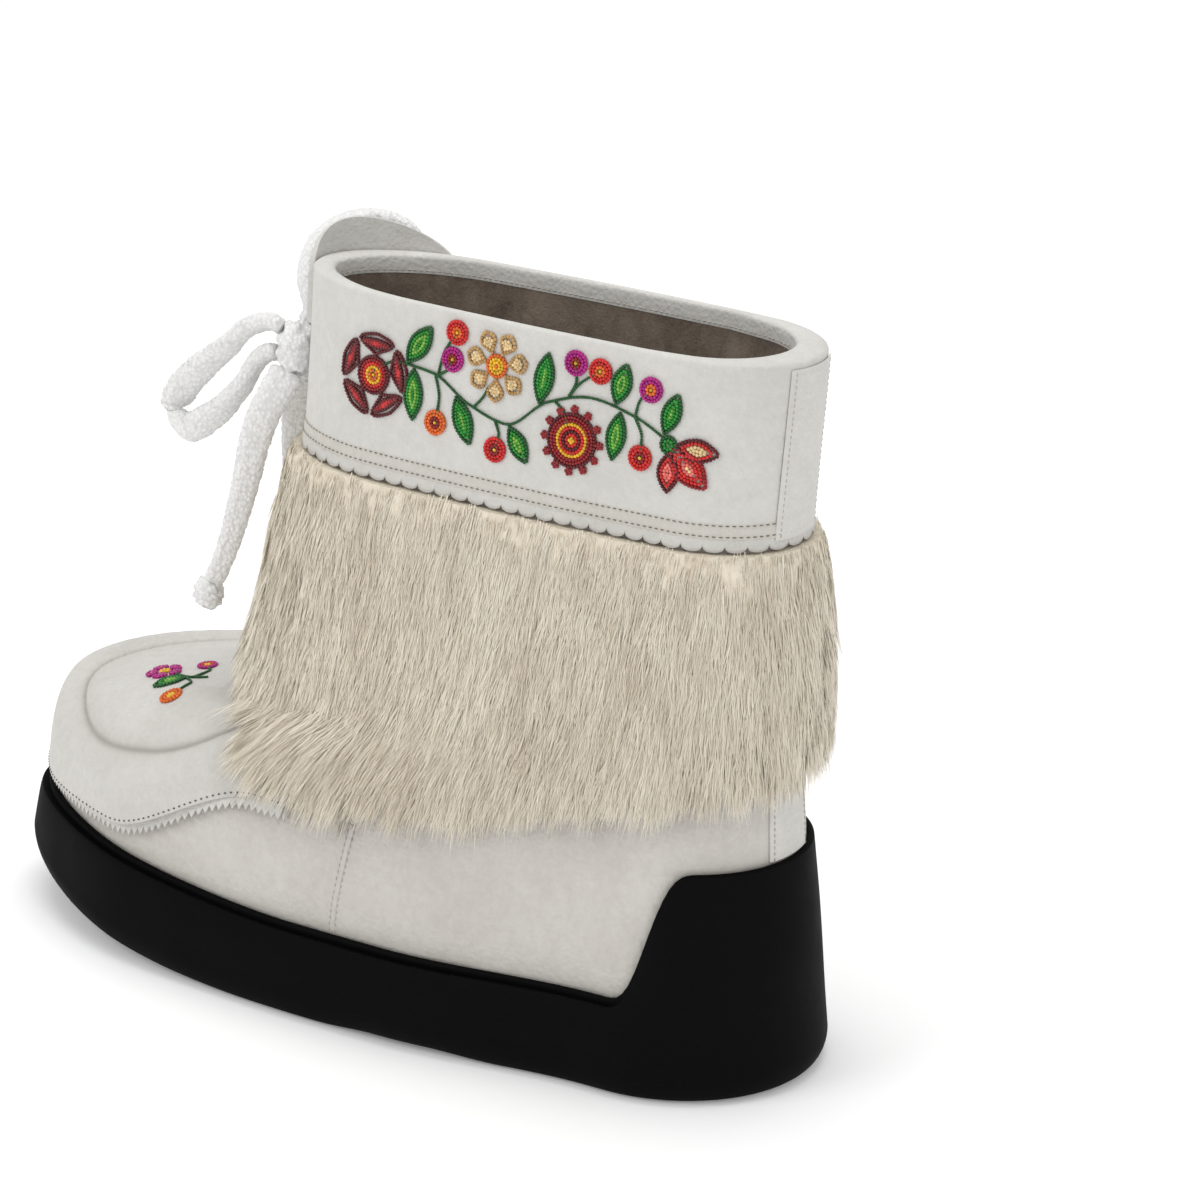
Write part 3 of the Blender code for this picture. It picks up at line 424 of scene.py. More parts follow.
def width_at(share, knots):
    """Half width along a ring, through five widths at WIDTH_SHARES."""
    share, *knots = np.broadcast_arrays(share, *knots)
    rows, step = np.stack(knots), np.diff(WIDTH_SHARES)
    rise = np.diff(rows, axis=0) / step.reshape((-1,) + (1,) * share.ndim)
    level_end = np.zeros_like(rows[:1])
    slope = np.concatenate([level_end, gentle_slopes(rise), level_end])
    result = rows[0]
    for k, wide in enumerate(step):
        part = np.clip((share - WIDTH_SHARES[k]) / wide, 0, 1)
        curve = cubic(part, wide, rows[k], rows[k + 1], slope[k], slope[k + 1])
        result = np.where(share >= WIDTH_SHARES[k], curve, result)
    return result


def ease(value, low, high):
    """Smooth step from 0 at low to 1 at high."""
    part = np.clip((value - low) / (high - low), 0, 1)
    return part * part * (3 - 2 * part)


def end_round(part):
    """Quarter circle from 0 at an end to 1 where the width is full."""
    return np.sqrt(1 - (1 - np.clip(part, 0, 1)) ** 2)


def steps_to_end(count):
    """Steps from each point of a row to its nearer end."""
    return np.minimum(np.arange(count), np.arange(count)[::-1])


def along_share(turn):
    """Share of a ring's length at a turn: 0 at the back, 1 at the front."""
    return (1 - np.cos(turn - CROWDING * np.sin(2 * turn) / 2)) / 2


def ring_rows():
    """All rings in metres, feather line first."""
    rows = []
    for row in FOOT_ROWS:
        lengths = [row[0] * LENGTH, row[1] * TOE_HEIGHT, row[2] * LENGTH, row[3] * TOE_HEIGHT]
        rows.append(lengths + [share * BALL_WIDTH for share in row[4:12]] + [row[12]])
    rows[0][1], rows[0][3] = HEEL_FLOOR + CLEARANCE, TOE_FLOOR + CLEARANCE
    climb = COLLAR_HEIGHT - INSTEP_HEIGHT
    for row in SHAFT_ROWS:
        lengths = [BACK_SET + row[0] * SHAFT_DEPTH, INSTEP_HEIGHT + row[1] * climb,
                   BACK_SET + row[2] * SHAFT_DEPTH, INSTEP_HEIGHT + row[3] * climb]
        rows.append(lengths + [share * SHAFT_WIDTH for share in row[4:12]] + [row[12]])
    return np.array(rows)


RINGS = ring_rows()
COLLAR_RING = float(len(FOOT_ROWS) + len(SHAFT_ROWS) - 2)
GRID_LEVELS = np.linspace(0, len(RINGS) - 1, 201)
GRID_COLUMNS = 720


def exact_skin(level, turn):
    """Point of the upper's outer face. Turn 0 is the back and half a turn the front."""
    row = smooth_between(np.arange(len(RINGS)), RINGS, level)
    values = dict(zip(FOOT_COLUMNS, np.moveaxis(row, -1, 0)))
    share = along_share(turn)
    span, heel = values["front"] - values["back"], values["heel"]
    wide = []
    for side in ("out", "in"):
        mid, fore = values["mid_" + side], values["fore_" + side]
        wide.append(width_at(share, [heel * 0.98, heel, mid, fore, fore * 0.86]))
    width = np.where(np.sin(turn) >= 0, wide[0], -wide[1])
    width = width * end_round(share * span / values["back_round"])
    width = width * end_round((1 - share) * span / values["front_round"])
    across = SIDE_CENTRE + width - values["toe_in"] * ease(share, 0.5, 1.0)
    climb = values["front_height"] - values["back_height"]
    height = values["back_height"] + climb * share ** values["lift"]
    return np.stack([across, LENGTH * LENGTHWISE_CENTRE - values["back"] - span * share, height], -1)


def even_turns(count):
    """Turns evenly spaced round the boot, from the back."""
    return np.arange(count) / count * FULL_TURN


def fine_grid():
    """Points and outward normals of the skin."""
    level, turn = np.meshgrid(GRID_LEVELS, even_turns(GRID_COLUMNS), indexing="ij")
    points = exact_skin(level, turn)
    across = np.roll(points, -1, axis=1) - np.roll(points, 1, axis=1)
    normals = np.cross(np.gradient(points, axis=0), across)
    return points, normals / np.linalg.norm(normals, axis=-1, keepdims=True)


POINTS, NORMALS = fine_grid()


def sample(grid, level, turn):
    """Value of a grid on the skin at any level and turn."""
    level, turn = np.broadcast_arrays(np.asarray(level, float), turn)
    row = np.clip(level / GRID_LEVELS[-1] * (len(GRID_LEVELS) - 1), 0, len(GRID_LEVELS) - 1.0001)
    column = (turn / FULL_TURN * GRID_COLUMNS) % GRID_COLUMNS
    i, j = row.astype(int), column.astype(int) % GRID_COLUMNS
    f, g = (row - i)[..., None], (column - np.floor(column))[..., None]
    after = (j + 1) % GRID_COLUMNS
    low = grid[i, j] * (1 - g) + grid[i, after] * g
    high = grid[i + 1, j] * (1 - g) + grid[i + 1, after] * g
    return low * (1 - f) + high * f


def unit(vectors):
    """Vectors of length one."""
    return vectors / np.maximum(np.linalg.norm(vectors, axis=-1, keepdims=True), 1e-9)


def facing(level, turn):
    """Outward normal of the skin."""
    return unit(sample(NORMALS, level, turn))


def skin(level, turn, offset):
    """Point on the skin, moved outwards by offset."""
    offset = np.asarray(offset, float)
    return sample(POINTS, level, turn) + facing(level, turn) * offset[..., None]


def level_at(height, turn):
    """Level at which the skin passes a height."""
    height, turn = np.broadcast_arrays(np.asarray(height, float), turn)
    tries = np.linspace(0, GRID_LEVELS[-1], 401)
    found = np.empty(turn.shape)
    for index, angle in np.ndenumerate(turn):
        found[index] = np.interp(height[index], sample(POINTS, tries, angle)[:, 2], tries)
    return found


def down_along(level, turn, distance):
    """Level that lies a distance down the skin from another level."""
    pace = np.linalg.norm(sample(POINTS, level, turn) - sample(POINTS, level - 0.2, turn), axis=-1) / 0.2
    return level - distance / pace


def walked_along(path):
    """Length walked along a path at each of its points."""
    return np.concatenate([[0], np.cumsum(np.linalg.norm(np.diff(path, axis=0), axis=1))])


def turns_by_length(level, count, low=0.0, high=FULL_TURN):
    """Turns evenly spaced by length along one level."""
    tries = np.linspace(low, high, 2881)
    walked = walked_along(sample(POINTS, level, tries))
    return np.interp(np.linspace(0, 1, count) * walked[-1], walked, tries)


def lip_height(turn):
    """Top edge of the rubber cup, rising in an S to the heel."""
    fall = ease(ease(along_share(turn), CUP_TOP, CUP_FOOT), 0, 1)
    return LIP_HEIGHT + (HEEL_CUP_HEIGHT - LIP_HEIGHT) * (1 - fall) + toe_lip_rise(turn)


def toe_lip_rise(turn):
    """How much the cup's top edge sweeps up with the toe."""
    return TOE_LIP_RISE * ease(along_share(turn), 0.55, 0.97)


def fur_low(turn):
    """Height of the fur band's lower edge."""
    return smooth_between(FUR_SHARES, FUR_HEIGHTS, along_share(turn)) * INSTEP_HEIGHT


def waves(values, seed, count=5, low=1, high=9):
    """Gentle repeatable unevenness round the boot, about -1 to 1."""
    draw = np.random.RandomState(seed)
    total = 0
    for _ in range(count):
        total = total + np.sin(values * draw.randint(low, high) + draw.uniform(0, FULL_TURN))
    return total / count * 1.4


# Making pieces
made = []
stock = bpy.data.collections.new("stock")
tufts = bpy.data.collections.new("tufts")


def new_piece(name, mesh, finish, node=None, slot=None):
    """A finished piece of the boot, riding on its body."""
    mesh.name = name
    obj = in_scene(name, mesh)
    mesh.materials.clear()
    mesh.materials.append(finish)
    made.append((obj, node, slot))
    return obj


def baked(data, name):
    """Mesh of a bmesh, which is freed."""
    mesh = bpy.data.meshes.new(name)
    data.to_mesh(mesh)
    data.free()
    return mesh


def give(mesh, title, values):
    """Give each point of a mesh a number, a vector or a colour."""
    values = np.asarray(values, np.float32).ravel()
    kinds = {1: ("FLOAT", "value"), 3: ("FLOAT_VECTOR", "vector"), 4: ("FLOAT_COLOR", "color")}
    kind, field = kinds[values.size // len(mesh.vertices)]
    mesh.attributes.new(title, kind, "POINT").data.foreach_set(field, values)


def grid_faces(rows, columns, rows_meet, columns_meet):
    """Numbers of a grid's points, and its quads, joined on where the last row or column meets the first."""
    index = np.arange(rows * columns).reshape(rows, columns)
    faces = []
    for i in range(rows if rows_meet else rows - 1):
        k = (i + 1) % rows
        for j in range(columns if columns_meet else columns - 1):
            m = (j + 1) % columns
            faces.append((index[i, j], index[i, m], index[k, m], index[k, j]))
    return index, faces


def mesh_of(points, faces, smooth=True):
    """Mesh from points and faces with its normals outwards."""
    data = bmesh.new()
    verts = [data.verts.new(point) for point in np.asarray(points).reshape(-1, 3).tolist()]
    for face in faces:
        data.faces.new([verts[k] for k in dict.fromkeys(face)])
    bmesh.ops.remove_doubles(data, verts=data.verts, dist=0.000005)
    bmesh.ops.dissolve_degenerate(data, edges=data.edges, dist=0.000002)
    bmesh.ops.recalc_face_normals(data, faces=data.faces)
    mesh = baked(data, "shape")
    if smooth:
        mesh.shade_smooth()
        mesh.set_sharp_from_angle(angle=math.radians(50))
    return mesh


def mark(mesh, title, values):
    """Give a mesh's first points a value each, and the rest none."""
    full = np.zeros(len(mesh.vertices), np.float32)
    full[:values.size] = values.ravel()
    give(mesh, title, full)
    return mesh


def shell(section, around):
    """Closed shell from section points [point, column, xyz], joined round the boot or capped at its ends."""
    rows, columns = section.shape[:2]
    index, faces = grid_faces(rows, columns, True, around)
    if not around:
        for j in (0, columns - 1):
            for i in range(rows // 2 - 1):
                faces.append((index[i, j], index[i + 1, j], index[rows - 2 - i, j], index[rows - 1 - i, j]))
    return mesh_of(section, faces)


def stacked(rings):
    """Closed solid from rings, bottom to top, closed by strips across."""
    rows, columns = rings.shape[:2]
    index, faces = grid_faces(rows, columns, False, True)
    for i in (0, rows - 1):
        for j in range(columns // 2):
            corners = (index[i, j], index[i, j + 1], index[i, (columns - j - 1) % columns],
                       index[i, (columns - j) % columns])
            faces.append(tuple(dict.fromkeys(corners)))
    return mesh_of(rings, faces)


# Repeating trees
class Growth(Net):
    """A geometry tree with named inputs that ends in a realised, dressed mesh."""

    def __init__(self, name, inputs):
        tree = bpy.data.node_groups.new(name, "GeometryNodeTree")
        super().__init__(tree)
        tree.interface.new_socket("Geometry", in_out="INPUT", socket_type="NodeSocketGeometry")
        for title, kind in inputs.items():
            tree.interface.new_socket(title, in_out="INPUT", socket_type="NodeSocket" + kind)
        tree.interface.new_socket("Geometry", in_out="OUTPUT", socket_type="NodeSocketGeometry")
        self.entry = tree.nodes.new("NodeGroupInput")
        self.end = tree.nodes.new("NodeGroupOutput")

    def given(self, title):
        return Wire(self, self.entry.outputs[title])

    def named(self, title, kind="FLOAT_VECTOR"):
        return self.node("GeometryNodeInputNamedAttribute", {"data_type": kind}, {"Name": title})

    def facing_and(self, run):
        """Rotation that turns a shape to the skin's facing and a run."""
        return self.node("FunctionNodeAxesToRotation", {"primary_axis": "Z", "secondary_axis": "X"},
                         {"Primary Axis": self.named("facing"), "Secondary Axis": run})

    def shape(self):
        return self.node("GeometryNodeObjectInfo", None, {"Object": self.given("Shape")}, out="Geometry")

    def set_on(self, points, **sockets):
        """Instances on points, realised in the given finish."""
        made = {name.replace("_", " "): value for name, value in sockets.items()}
        return self.finish(self.node("GeometryNodeInstanceOnPoints", None, {"Points": points, **made}))

    def finish(self, instances):
        real = self.node("GeometryNodeRealizeInstances", None, {"Geometry": instances})
        dressed = self.node("GeometryNodeSetMaterial", None,
                            {"Geometry": real, "Material": self.given("Finish")})
        self.tree.links.new(dressed.socket, self.end.inputs["Geometry"])
        return self.tree


def placed_tree():
    """One shape on each given point, turned to its facing and its run."""
    net = Growth("placed_shapes", {"Shape": "Object", "Size": "Float", "Finish": "Material"})
    size = net.named("size", "FLOAT") * net.given("Size")
    turn = net.facing_and(net.named("run"))
    return net.set_on(net.given("Geometry"), Instance=net.shape(), Rotation=turn, Scale=size)


def row_tree():
    """Shapes at an even pitch along given paths, turned to the skin and the path."""
    net = Growth("sewn_rows", {"Shape": "Object", "Pitch": "Float", "Finish": "Material"})
    paths = net.node("GeometryNodeMeshToCurve", None, {"Mesh": net.given("Geometry")})
    even = net.node("GeometryNodeResampleCurve", {"mode": "LENGTH"},
                    {"Curve": paths, "Length": net.given("Pitch")})
    turn = net.facing_and(net.node("GeometryNodeInputTangent"))
    return net.set_on(even, Instance=net.shape(), Rotation=turn)


def fur_tree():
    """Tufts scattered over the hide, laid along its combing."""
    net = Growth("fur_tufts", {"Tufts": "Collection", "Density": "Float", "Seed": "Int", "Short": "Float",
                               "Long": "Float", "Stray": "Float", "Finish": "Material"})
    scattering = {"Mesh": net.given("Geometry"), "Density": net.given("Density"), "Seed": net.given("Seed")}
    scatter = net.node("GeometryNodeDistributePointsOnFaces", {"distribute_method": "RANDOM"}, scattering)
    out_of_skin = net.other(scatter, 1)
    lay = net.node("FunctionNodeAxesToRotation", {"primary_axis": "Z", "secondary_axis": "X"},
                   {"Primary Axis": net.named("combing"), "Secondary Axis": out_of_skin})
    stray = net.given("Stray")
    wild = net.node("FunctionNodeRandomValue", {"data_type": "FLOAT_VECTOR"},
                    {0: (-1.0, -1.0, -1.0), 1: (1.0, 1.0, 1.0), "Seed": 11}, out=0)
    lean = net.node("ShaderNodeVectorMath", {"operation": "SCALE"}, {0: wild, "Scale": stray})
    stray_turn = net.node("FunctionNodeEulerToRotation", None, {"Euler": lean})
    rolled = net.node("FunctionNodeRotateRotation", {"rotation_space": "LOCAL"},
                      {"Rotation": lay, "Rotate By": stray_turn})
    length = net.node("FunctionNodeRandomValue", {"data_type": "FLOAT"},
                      {2: net.given("Short"), 3: net.given("Long"), "Seed": 5}, out=1)
    full = length * net.named("fullness", "FLOAT")
    pick = net.node("FunctionNodeRandomValue", {"data_type": "INT"},
                    {4: 0, 5: TUFT_KINDS - 1, "Seed": 3}, out=2)
    tufts = net.node("GeometryNodeCollectionInfo", None,
                     {"Collection": net.given("Tufts"), "Separate Children": True, "Reset Children": True})
    instances = net.node("GeometryNodeInstanceOnPoints", None,
                         {"Points": scatter, "Instance": tufts, "Pick Instance": True, "Instance Index": pick,
                          "Rotation": rolled, "Scale": full})
    shade = net.node("FunctionNodeRandomValue", {"data_type": "FLOAT"}, {2: 0.0, 3: 1.0, "Seed": 8}, out=1)
    named = net.node("GeometryNodeStoreNamedAttribute", {"data_type": "FLOAT", "domain": "INSTANCE"},
                     {"Geometry": instances, "Name": "tuft", "Value": shade})
    return net.finish(named)


def grown(base, tree, values):
    """Plain mesh that a geometry tree makes of a base mesh."""
    carrier = in_scene("carrier", base)
    modifier = carrier.modifiers.new("growth", "NODES")
    modifier.node_group = tree
    sockets = {item.name: item.identifier for item in tree.interface.items_tree if item.in_out == "INPUT"}
    for title, value in values.items():
        modifier[sockets[title]] = value
    shown = carrier.evaluated_get(bpy.context.evaluated_depsgraph_get())
    mesh = bpy.data.meshes.new_from_object(shown)
    carrier.modifiers.remove(modifier)
    bpy.data.objects.remove(carrier)
    return mesh


def point_cloud(points, facings, runs=None, sizes=None, tints=None, edges=()):
    """Mesh of bare points, or of paths, with what the trees need on each point."""
    points = np.asarray(points, float).reshape(-1, 3)
    mesh = bpy.data.meshes.new("points")
    mesh.from_pydata(points.tolist(), list(edges), [])
    whole = np.ones(len(points))
    give(mesh, "facing", facings)
    if runs is not None:
        give(mesh, "run", runs)
    give(mesh, "size", whole if sizes is None else sizes)
    if tints is not None:
        give(mesh, "tint", np.column_stack([tints, whole]))
    return mesh


def hidden_shape(name, mesh):
    """A small shape that trees repeat. It isn't rendered itself."""
    obj = bpy.data.objects.new(name, mesh)
    stock.objects.link(obj)
    return obj


def stitch_shape(length, width, height):
    """One stitch: a low rounded dash along X."""
    data = bmesh.new()
    bmesh.ops.create_uvsphere(data, u_segments=6, v_segments=4, radius=0.5)
    for vert in data.verts:
        x, y, z = vert.co.z, vert.co.x, vert.co.y
        vert.co = (x * length, y * width, z * height)
    bmesh.ops.recalc_face_normals(data, faces=data.faces)
    mesh = baked(data, "stitch")
    mesh.shade_smooth()
    return hidden_shape("stitch_shape", mesh)


def bead_shape():
    """One seed bead: a low ring-like barrel of unit width, standing on its face."""
    data = bmesh.new()
    sides = 6
    profile = ((0.30, 0.40), (0.51, 0.10), (0.38, -0.28))
    rings = [[data.verts.new((r * math.cos(k / sides * FULL_TURN), r * math.sin(k / sides * FULL_TURN), z))
              for k in range(sides)] for r, z in profile]
    for low, high in zip(rings, rings[1:]):
        for k in range(sides):
            data.faces.new((low[k], high[k], high[(k + 1) % sides], low[(k + 1) % sides]))
    data.faces.new(rings[0])
    data.faces.new(rings[-1][::-1])
    bmesh.ops.recalc_face_normals(data, faces=data.faces)
    mesh = baked(data, "bead")
    mesh.shade_smooth()
    return hidden_shape("bead_shape", mesh)


# Tie
def knot_middle():
    """Centre of the knot, which rests on the front of the cuff."""
    turn = np.array(math.pi - KNOT_SIDE)
    return skin(level_at(KNOT_HEIGHT, turn), turn, CUFF_THICKNESS + 2 * CLEARANCE + KNOT_RADII[0])


def seat(direction):
    """Two points straight out of the knot's surface, the first on its seat."""
    direction, radii = np.array(direction), np.array(KNOT_RADII)
    surface = direction / np.linalg.norm(direction / radii)
    normal = unit(surface / radii**2)
    near = surface + normal * 1.5 * CLEARANCE
    return [near, near + normal * LACE_START]


def cord_route(seats, middle, points):
    """Smooth route of a cord from the knot, in the boot's frame."""
    route = seat(seats[0]) + [np.array(point) for point in middle]
    for last in seats[1:]:
        route += seat(last)[::-1]
    route = np.array([[point[1], -point[0], point[2]] for point in route]) + knot_middle()
    walked = walked_along(route)
    at = np.linspace(0, walked[-1], points)
    slope = np.gradient(route, walked, axis=0)
    span = np.clip(np.searchsorted(walked, at, side="right") - 1, 0, len(walked) - 2)
    wide = (walked[span + 1] - walked[span])[:, None]
    part = (at - walked[span])[:, None] / wide
    return cubic(part, wide, route[span], route[span + 1], slope[span], slope[span + 1])


def cord_mesh(path, flat_ends, flat_middle, taper, seed, sides=28):
    """Soft knitted tube along a path: flat, turning on its way, with small raised loops."""
    walked = walked_along(path)
    steps = int(walked[-1] / 0.0006)
    at = np.linspace(0, walked[-1], steps)
    spine = np.stack([np.interp(at, walked, path[:, k]) for k in range(3)], -1)
    run = unit(np.gradient(spine, axis=0))
    turn = (np.sin(at / at[-1] * math.pi) ** 3)[:, None]
    aim = unit(np.array(flat_ends, float)) * (1 - turn) + unit(np.array(flat_middle, float)) * turn
    wide = unit(aim - run * (run * aim).sum(-1)[:, None])
    deep = np.cross(run, wide)
    angle = even_turns(sides)
    close = np.minimum(end_round((at + 0.0006) / 0.002), end_round((at[-1] - at + 0.0006) / 0.002))
    thin = 1 - taper * ease(at, 0, at[-1])
    swell = close * thin * (1 + 0.05 * waves(at * 500, seed))
    column = np.arange(sides) % 2
    bobble = np.sin(at[:, None] / 0.0016 * FULL_TURN + column * math.pi)
    loops = 0.5 + 0.5 * bobble * (0.6 + 0.4 * np.cos(angle * 7))
    fuzz = np.random.RandomState(seed).uniform(-1, 1, loops.shape)
    reach = swell[:, None] * (1 + 0.055 * (loops - 0.5) + 0.045 * fuzz)
    middle_dip = 1 - 0.16 * np.abs(np.sin(angle)) ** 6
    points = (spine[:, None] + wide[:, None] * (reach * np.cos(angle) * TIE_HALF_WIDTH)[..., None]
              + deep[:, None] * (reach * middle_dip * np.sin(angle) * TIE_HALF_DEPTH)[..., None])
    index, faces = grid_faces(steps, sides, False, True)
    faces += [tuple(index[0]), tuple(index[-1][::-1])]
    mesh = bpy.data.meshes.new("cord")
    mesh.from_pydata(points.reshape(-1, 3).tolist(), [], faces)
    data = bmesh.new()
    data.from_mesh(mesh)
    bmesh.ops.recalc_face_normals(data, faces=data.faces)
    data.to_mesh(mesh)
    data.free()
    # The loop value also lightens the knit's colour on the raised loops: painted shade in the dips.
    give(mesh, "loop", loops)
    mesh.shade_smooth()
    return mesh


def ball_mesh(centre, radii, seed):
    """Small tight knot: a lumpy knitted ball with wrapped turns."""
    data = bmesh.new()
    bmesh.ops.create_uvsphere(data, u_segments=44, v_segments=30, radius=1)
    draw = np.random.RandomState(seed)
    for vert in data.verts:
        x, y, z = vert.co
        wrap = math.sin(7 * math.atan2(z, x) + 3.0 * y) + 0.6 * math.sin(9 * math.atan2(y, z) - 2.5 * x)
        reach = 1 + KNOT_LUMPS * wrap + draw.uniform(-0.03, 0.03)
        vert.co = [centre[k] + vert.co[k] * radii[k] * reach for k in range(3)]
    mesh = baked(data, "ball")
    give(mesh, "loop", np.random.RandomState(seed + 1).uniform(0.2, 0.9, len(mesh.vertices)))
    mesh.shade_smooth()
    return mesh


def tie_the_bow(knit):
    """Knot, two loops and two hanging ends, at their real lengths."""
    middle = knot_middle()
    forward, outward, upward = KNOT_RADII
    knot = new_piece("tie_knot", ball_mesh(middle, (outward * 1.05, forward * 1.0, upward * 1.05), 4), knit,
                     "lace_knot", "tie_knit")
    cords = []
    parts = (("loop_outer", OUTER_LOOP_SEATS, OUTER_LOOP, (1, 0.5, 0.6), (0.35, 0.1, 1), 0.0, "object"),
             ("loop_inner", INNER_LOOP_SEATS, INNER_LOOP, (0.75, 0.8, 0.1), (0.6, 0.8, 0.3), 0.0, "object"),
             ("end_outer", OUTER_END_SEATS, OUTER_END, (-0.6, 0.8, 0), (-0.6, 0.8, 0), 0.38, "knot"),
             ("end_inner", INNER_END_SEATS, INNER_END, (-0.5, 0.9, 0.1), (-0.5, 0.9, 0.1), 0.38, "knot"))
    for seed, (name, seats, middle_points, flat_ends, flat_middle, taper, far_end) in enumerate(parts):
        path = cord_route(seats, middle_points, 60)
        mesh = cord_mesh(path, flat_ends, flat_middle, taper, seed + 2)
        cord = new_piece("tie_" + name, mesh, knit, "lace_" + name, "tie_knit")
        with_pieces = [knot] if seed == 0 else []
        if far_end == "knot":
            side = name.split("_")[1]
            centre = path[-1] + unit(path[-1] - path[-2]) * TIP_RADIUS * 0.92
            ball = ball_mesh(centre, (TIP_RADIUS * 0.95, TIP_RADIUS, TIP_RADIUS * 1.1), 20 + seed)
            with_pieces.append(new_piece("tie_tip_" + side, ball, knit, "lace_tip_" + side, "tie_knit"))
        cords.append((cord, path, far_end, with_pieces))
    return cords


# Sole
def build_sole(rubber):
    """Black cup sole: rounded lip, flared side, heel cup and tread grooves."""
    columns = 288
    turns = even_turns(columns)
    lip = lip_height(turns)
    share = along_share(turns)
    base = (TOE_SPRING * np.clip((share - SPRING_SHARE) / (1 - SPRING_SHARE), 0, 1) ** 2
            + ARCH_RISE * ease(share, 0.27, 0.36) * (1 - ease(share, 0.42, 0.50)))
    wide = skin(level_at(LIP_HEIGHT, turns), turns, 0.0)
    feather = skin(0.0, turns, 0.0)
    side = LIP_WALL + SOLE_FLARE + np.linalg.norm(wide[:, :2] - feather[:, :2], axis=-1)
    ahead = np.roll(feather, -1, axis=0) - np.roll(feather, 1, axis=0)
    outward = unit(np.stack([-ahead[:, 1], ahead[:, 0]], -1))

    def floor_ring(outset, height):
        ring = feather.copy()
        ring[:, :2] += outward * np.broadcast_to(outset, columns)[:, None]
        ring[:, 2] = height
        return ring

    rings = [floor_ring(side - 0.0110, base), floor_ring(side - 0.0056, base)]
    for angle in np.linspace(0.12, 1, 9) * math.pi / 2:
        round_in, round_up = 0.0050 * (1 - math.sin(angle)), 0.0080 * (1 - math.cos(angle))
        rings.append(floor_ring(side - round_in, base + round_up))
    rise = toe_lip_rise(turns)
    shoulder = LIP_HEIGHT * 0.95 + rise + (lip - rise - LIP_HEIGHT) * 0.45
    shoulder = skin(level_at(shoulder, turns), turns, LIP_WALL + 0.0022)
    waist = floor_ring(side - 0.0010, LIP_HEIGHT * 0.66 + base * 0.6)
    low = rings[-1]
    under = skin(level_at(lip - 0.0022, turns), turns, LIP_WALL + 0.0002)
    guide = np.stack([low, waist, shoulder, under])
    for at in np.linspace(0, 3, 25)[1:]:
        rings.append(smooth_between(np.arange(4), guide, np.array(at)))
    for angle in np.linspace(0.2, 1, 6) * math.pi:
        height = lip - 0.0014 + 0.0014 * math.sin(angle)
        offset = 0.0010 + 0.0014 * math.cos(angle)
        rings.append(skin(level_at(height, turns), turns, offset + 0.0003))
    rings.append(skin(np.maximum(level_at(lip - 0.006, turns), 0), turns, 0.0003))
    rings.append(floor_ring(-0.001, feather[:, 2] - 0.0006))
    sole = in_scene("sole", stacked(np.array(rings)))
    cutters = []
    for share, slant in GROOVES:
        half_round = np.linspace(0, math.pi, 721)
        turn = float(np.interp(share, along_share(half_round), half_round))
        outer, inner = sample(POINTS, 0.0, np.array(turn)), sample(POINTS, 0.0, np.array(FULL_TURN - turn))
        rise = TOE_SPRING * max((share - SPRING_SHARE) / (1 - SPRING_SHARE), 0) ** 2
        data = bmesh.new()
        bmesh.ops.create_cube(data, size=1)
        bmesh.ops.scale(data, verts=data.verts, vec=(outer[0] - inner[0] - 0.0044, 0.0050, 0.020))
        bmesh.ops.rotate(data, verts=data.verts, matrix=Matrix.Rotation(slant, 3, "Z"))
        bmesh.ops.translate(data, verts=data.verts, vec=((outer[0] + inner[0]) / 2, outer[1], rise - 0.0075))
        cutter = in_scene("groove", baked(data, "groove"))
        cutters.append(cutter)
        cut = sole.modifiers.new("groove", "BOOLEAN")
        cut.operation, cut.solver, cut.object = "DIFFERENCE", "EXACT", cutter
    shown = sole.evaluated_get(bpy.context.evaluated_depsgraph_get())
    mesh = bpy.data.meshes.new_from_object(shown)
    for obj in cutters + [sole]:
        bpy.data.objects.remove(obj)
    mesh.shade_smooth()
    mesh.set_sharp_from_angle(angle=math.radians(40))
    new_piece("cup_sole", mesh, rubber, "outsole", "sole_rubber")


# Upper, lining and footbed
def leather_creases(levels, turns):
    """Shallow wrinkles of the worn vamp and the soft quarter."""
    share = along_share(turns)
    points = sample(POINTS, levels, turns)
    u = LENGTH * LENGTHWISE_CENTRE - points[..., 1]
    z = points[..., 2]
    side = np.exp(-((share - 0.35) / 0.16) ** 2)
    ripple = np.sin((u * 1.0 + z * 0.55) * 190 + 2.2 * np.sin(z * 95)) * np.sin(u * 61 + 1.3)
    sag = np.sin(u * 95 - z * 40 + 0.6)
    return side * (0.00022 * ripple + 0.00022 * sag)


RIM_BLEND = (COLLAR_HEIGHT - 0.022, COLLAR_HEIGHT - 0.005)
RIM_ENDS = [float(skin(COLLAR_RING, np.array(turn), 0.0)[1]) for turn in (math.pi, 0.0)]


def rim_pinch(turns):
    """How much further in the rim reaches where its two sides meet, at the back and the front."""
    place = skin(COLLAR_RING, turns, 0.0)[..., 1]
    ahead, behind = (np.clip(1 - np.abs(place - end) / 0.042, 0, 1) ** 1.15 for end in RIM_ENDS)
    return 0.0042 * ahead + 0.0074 * behind


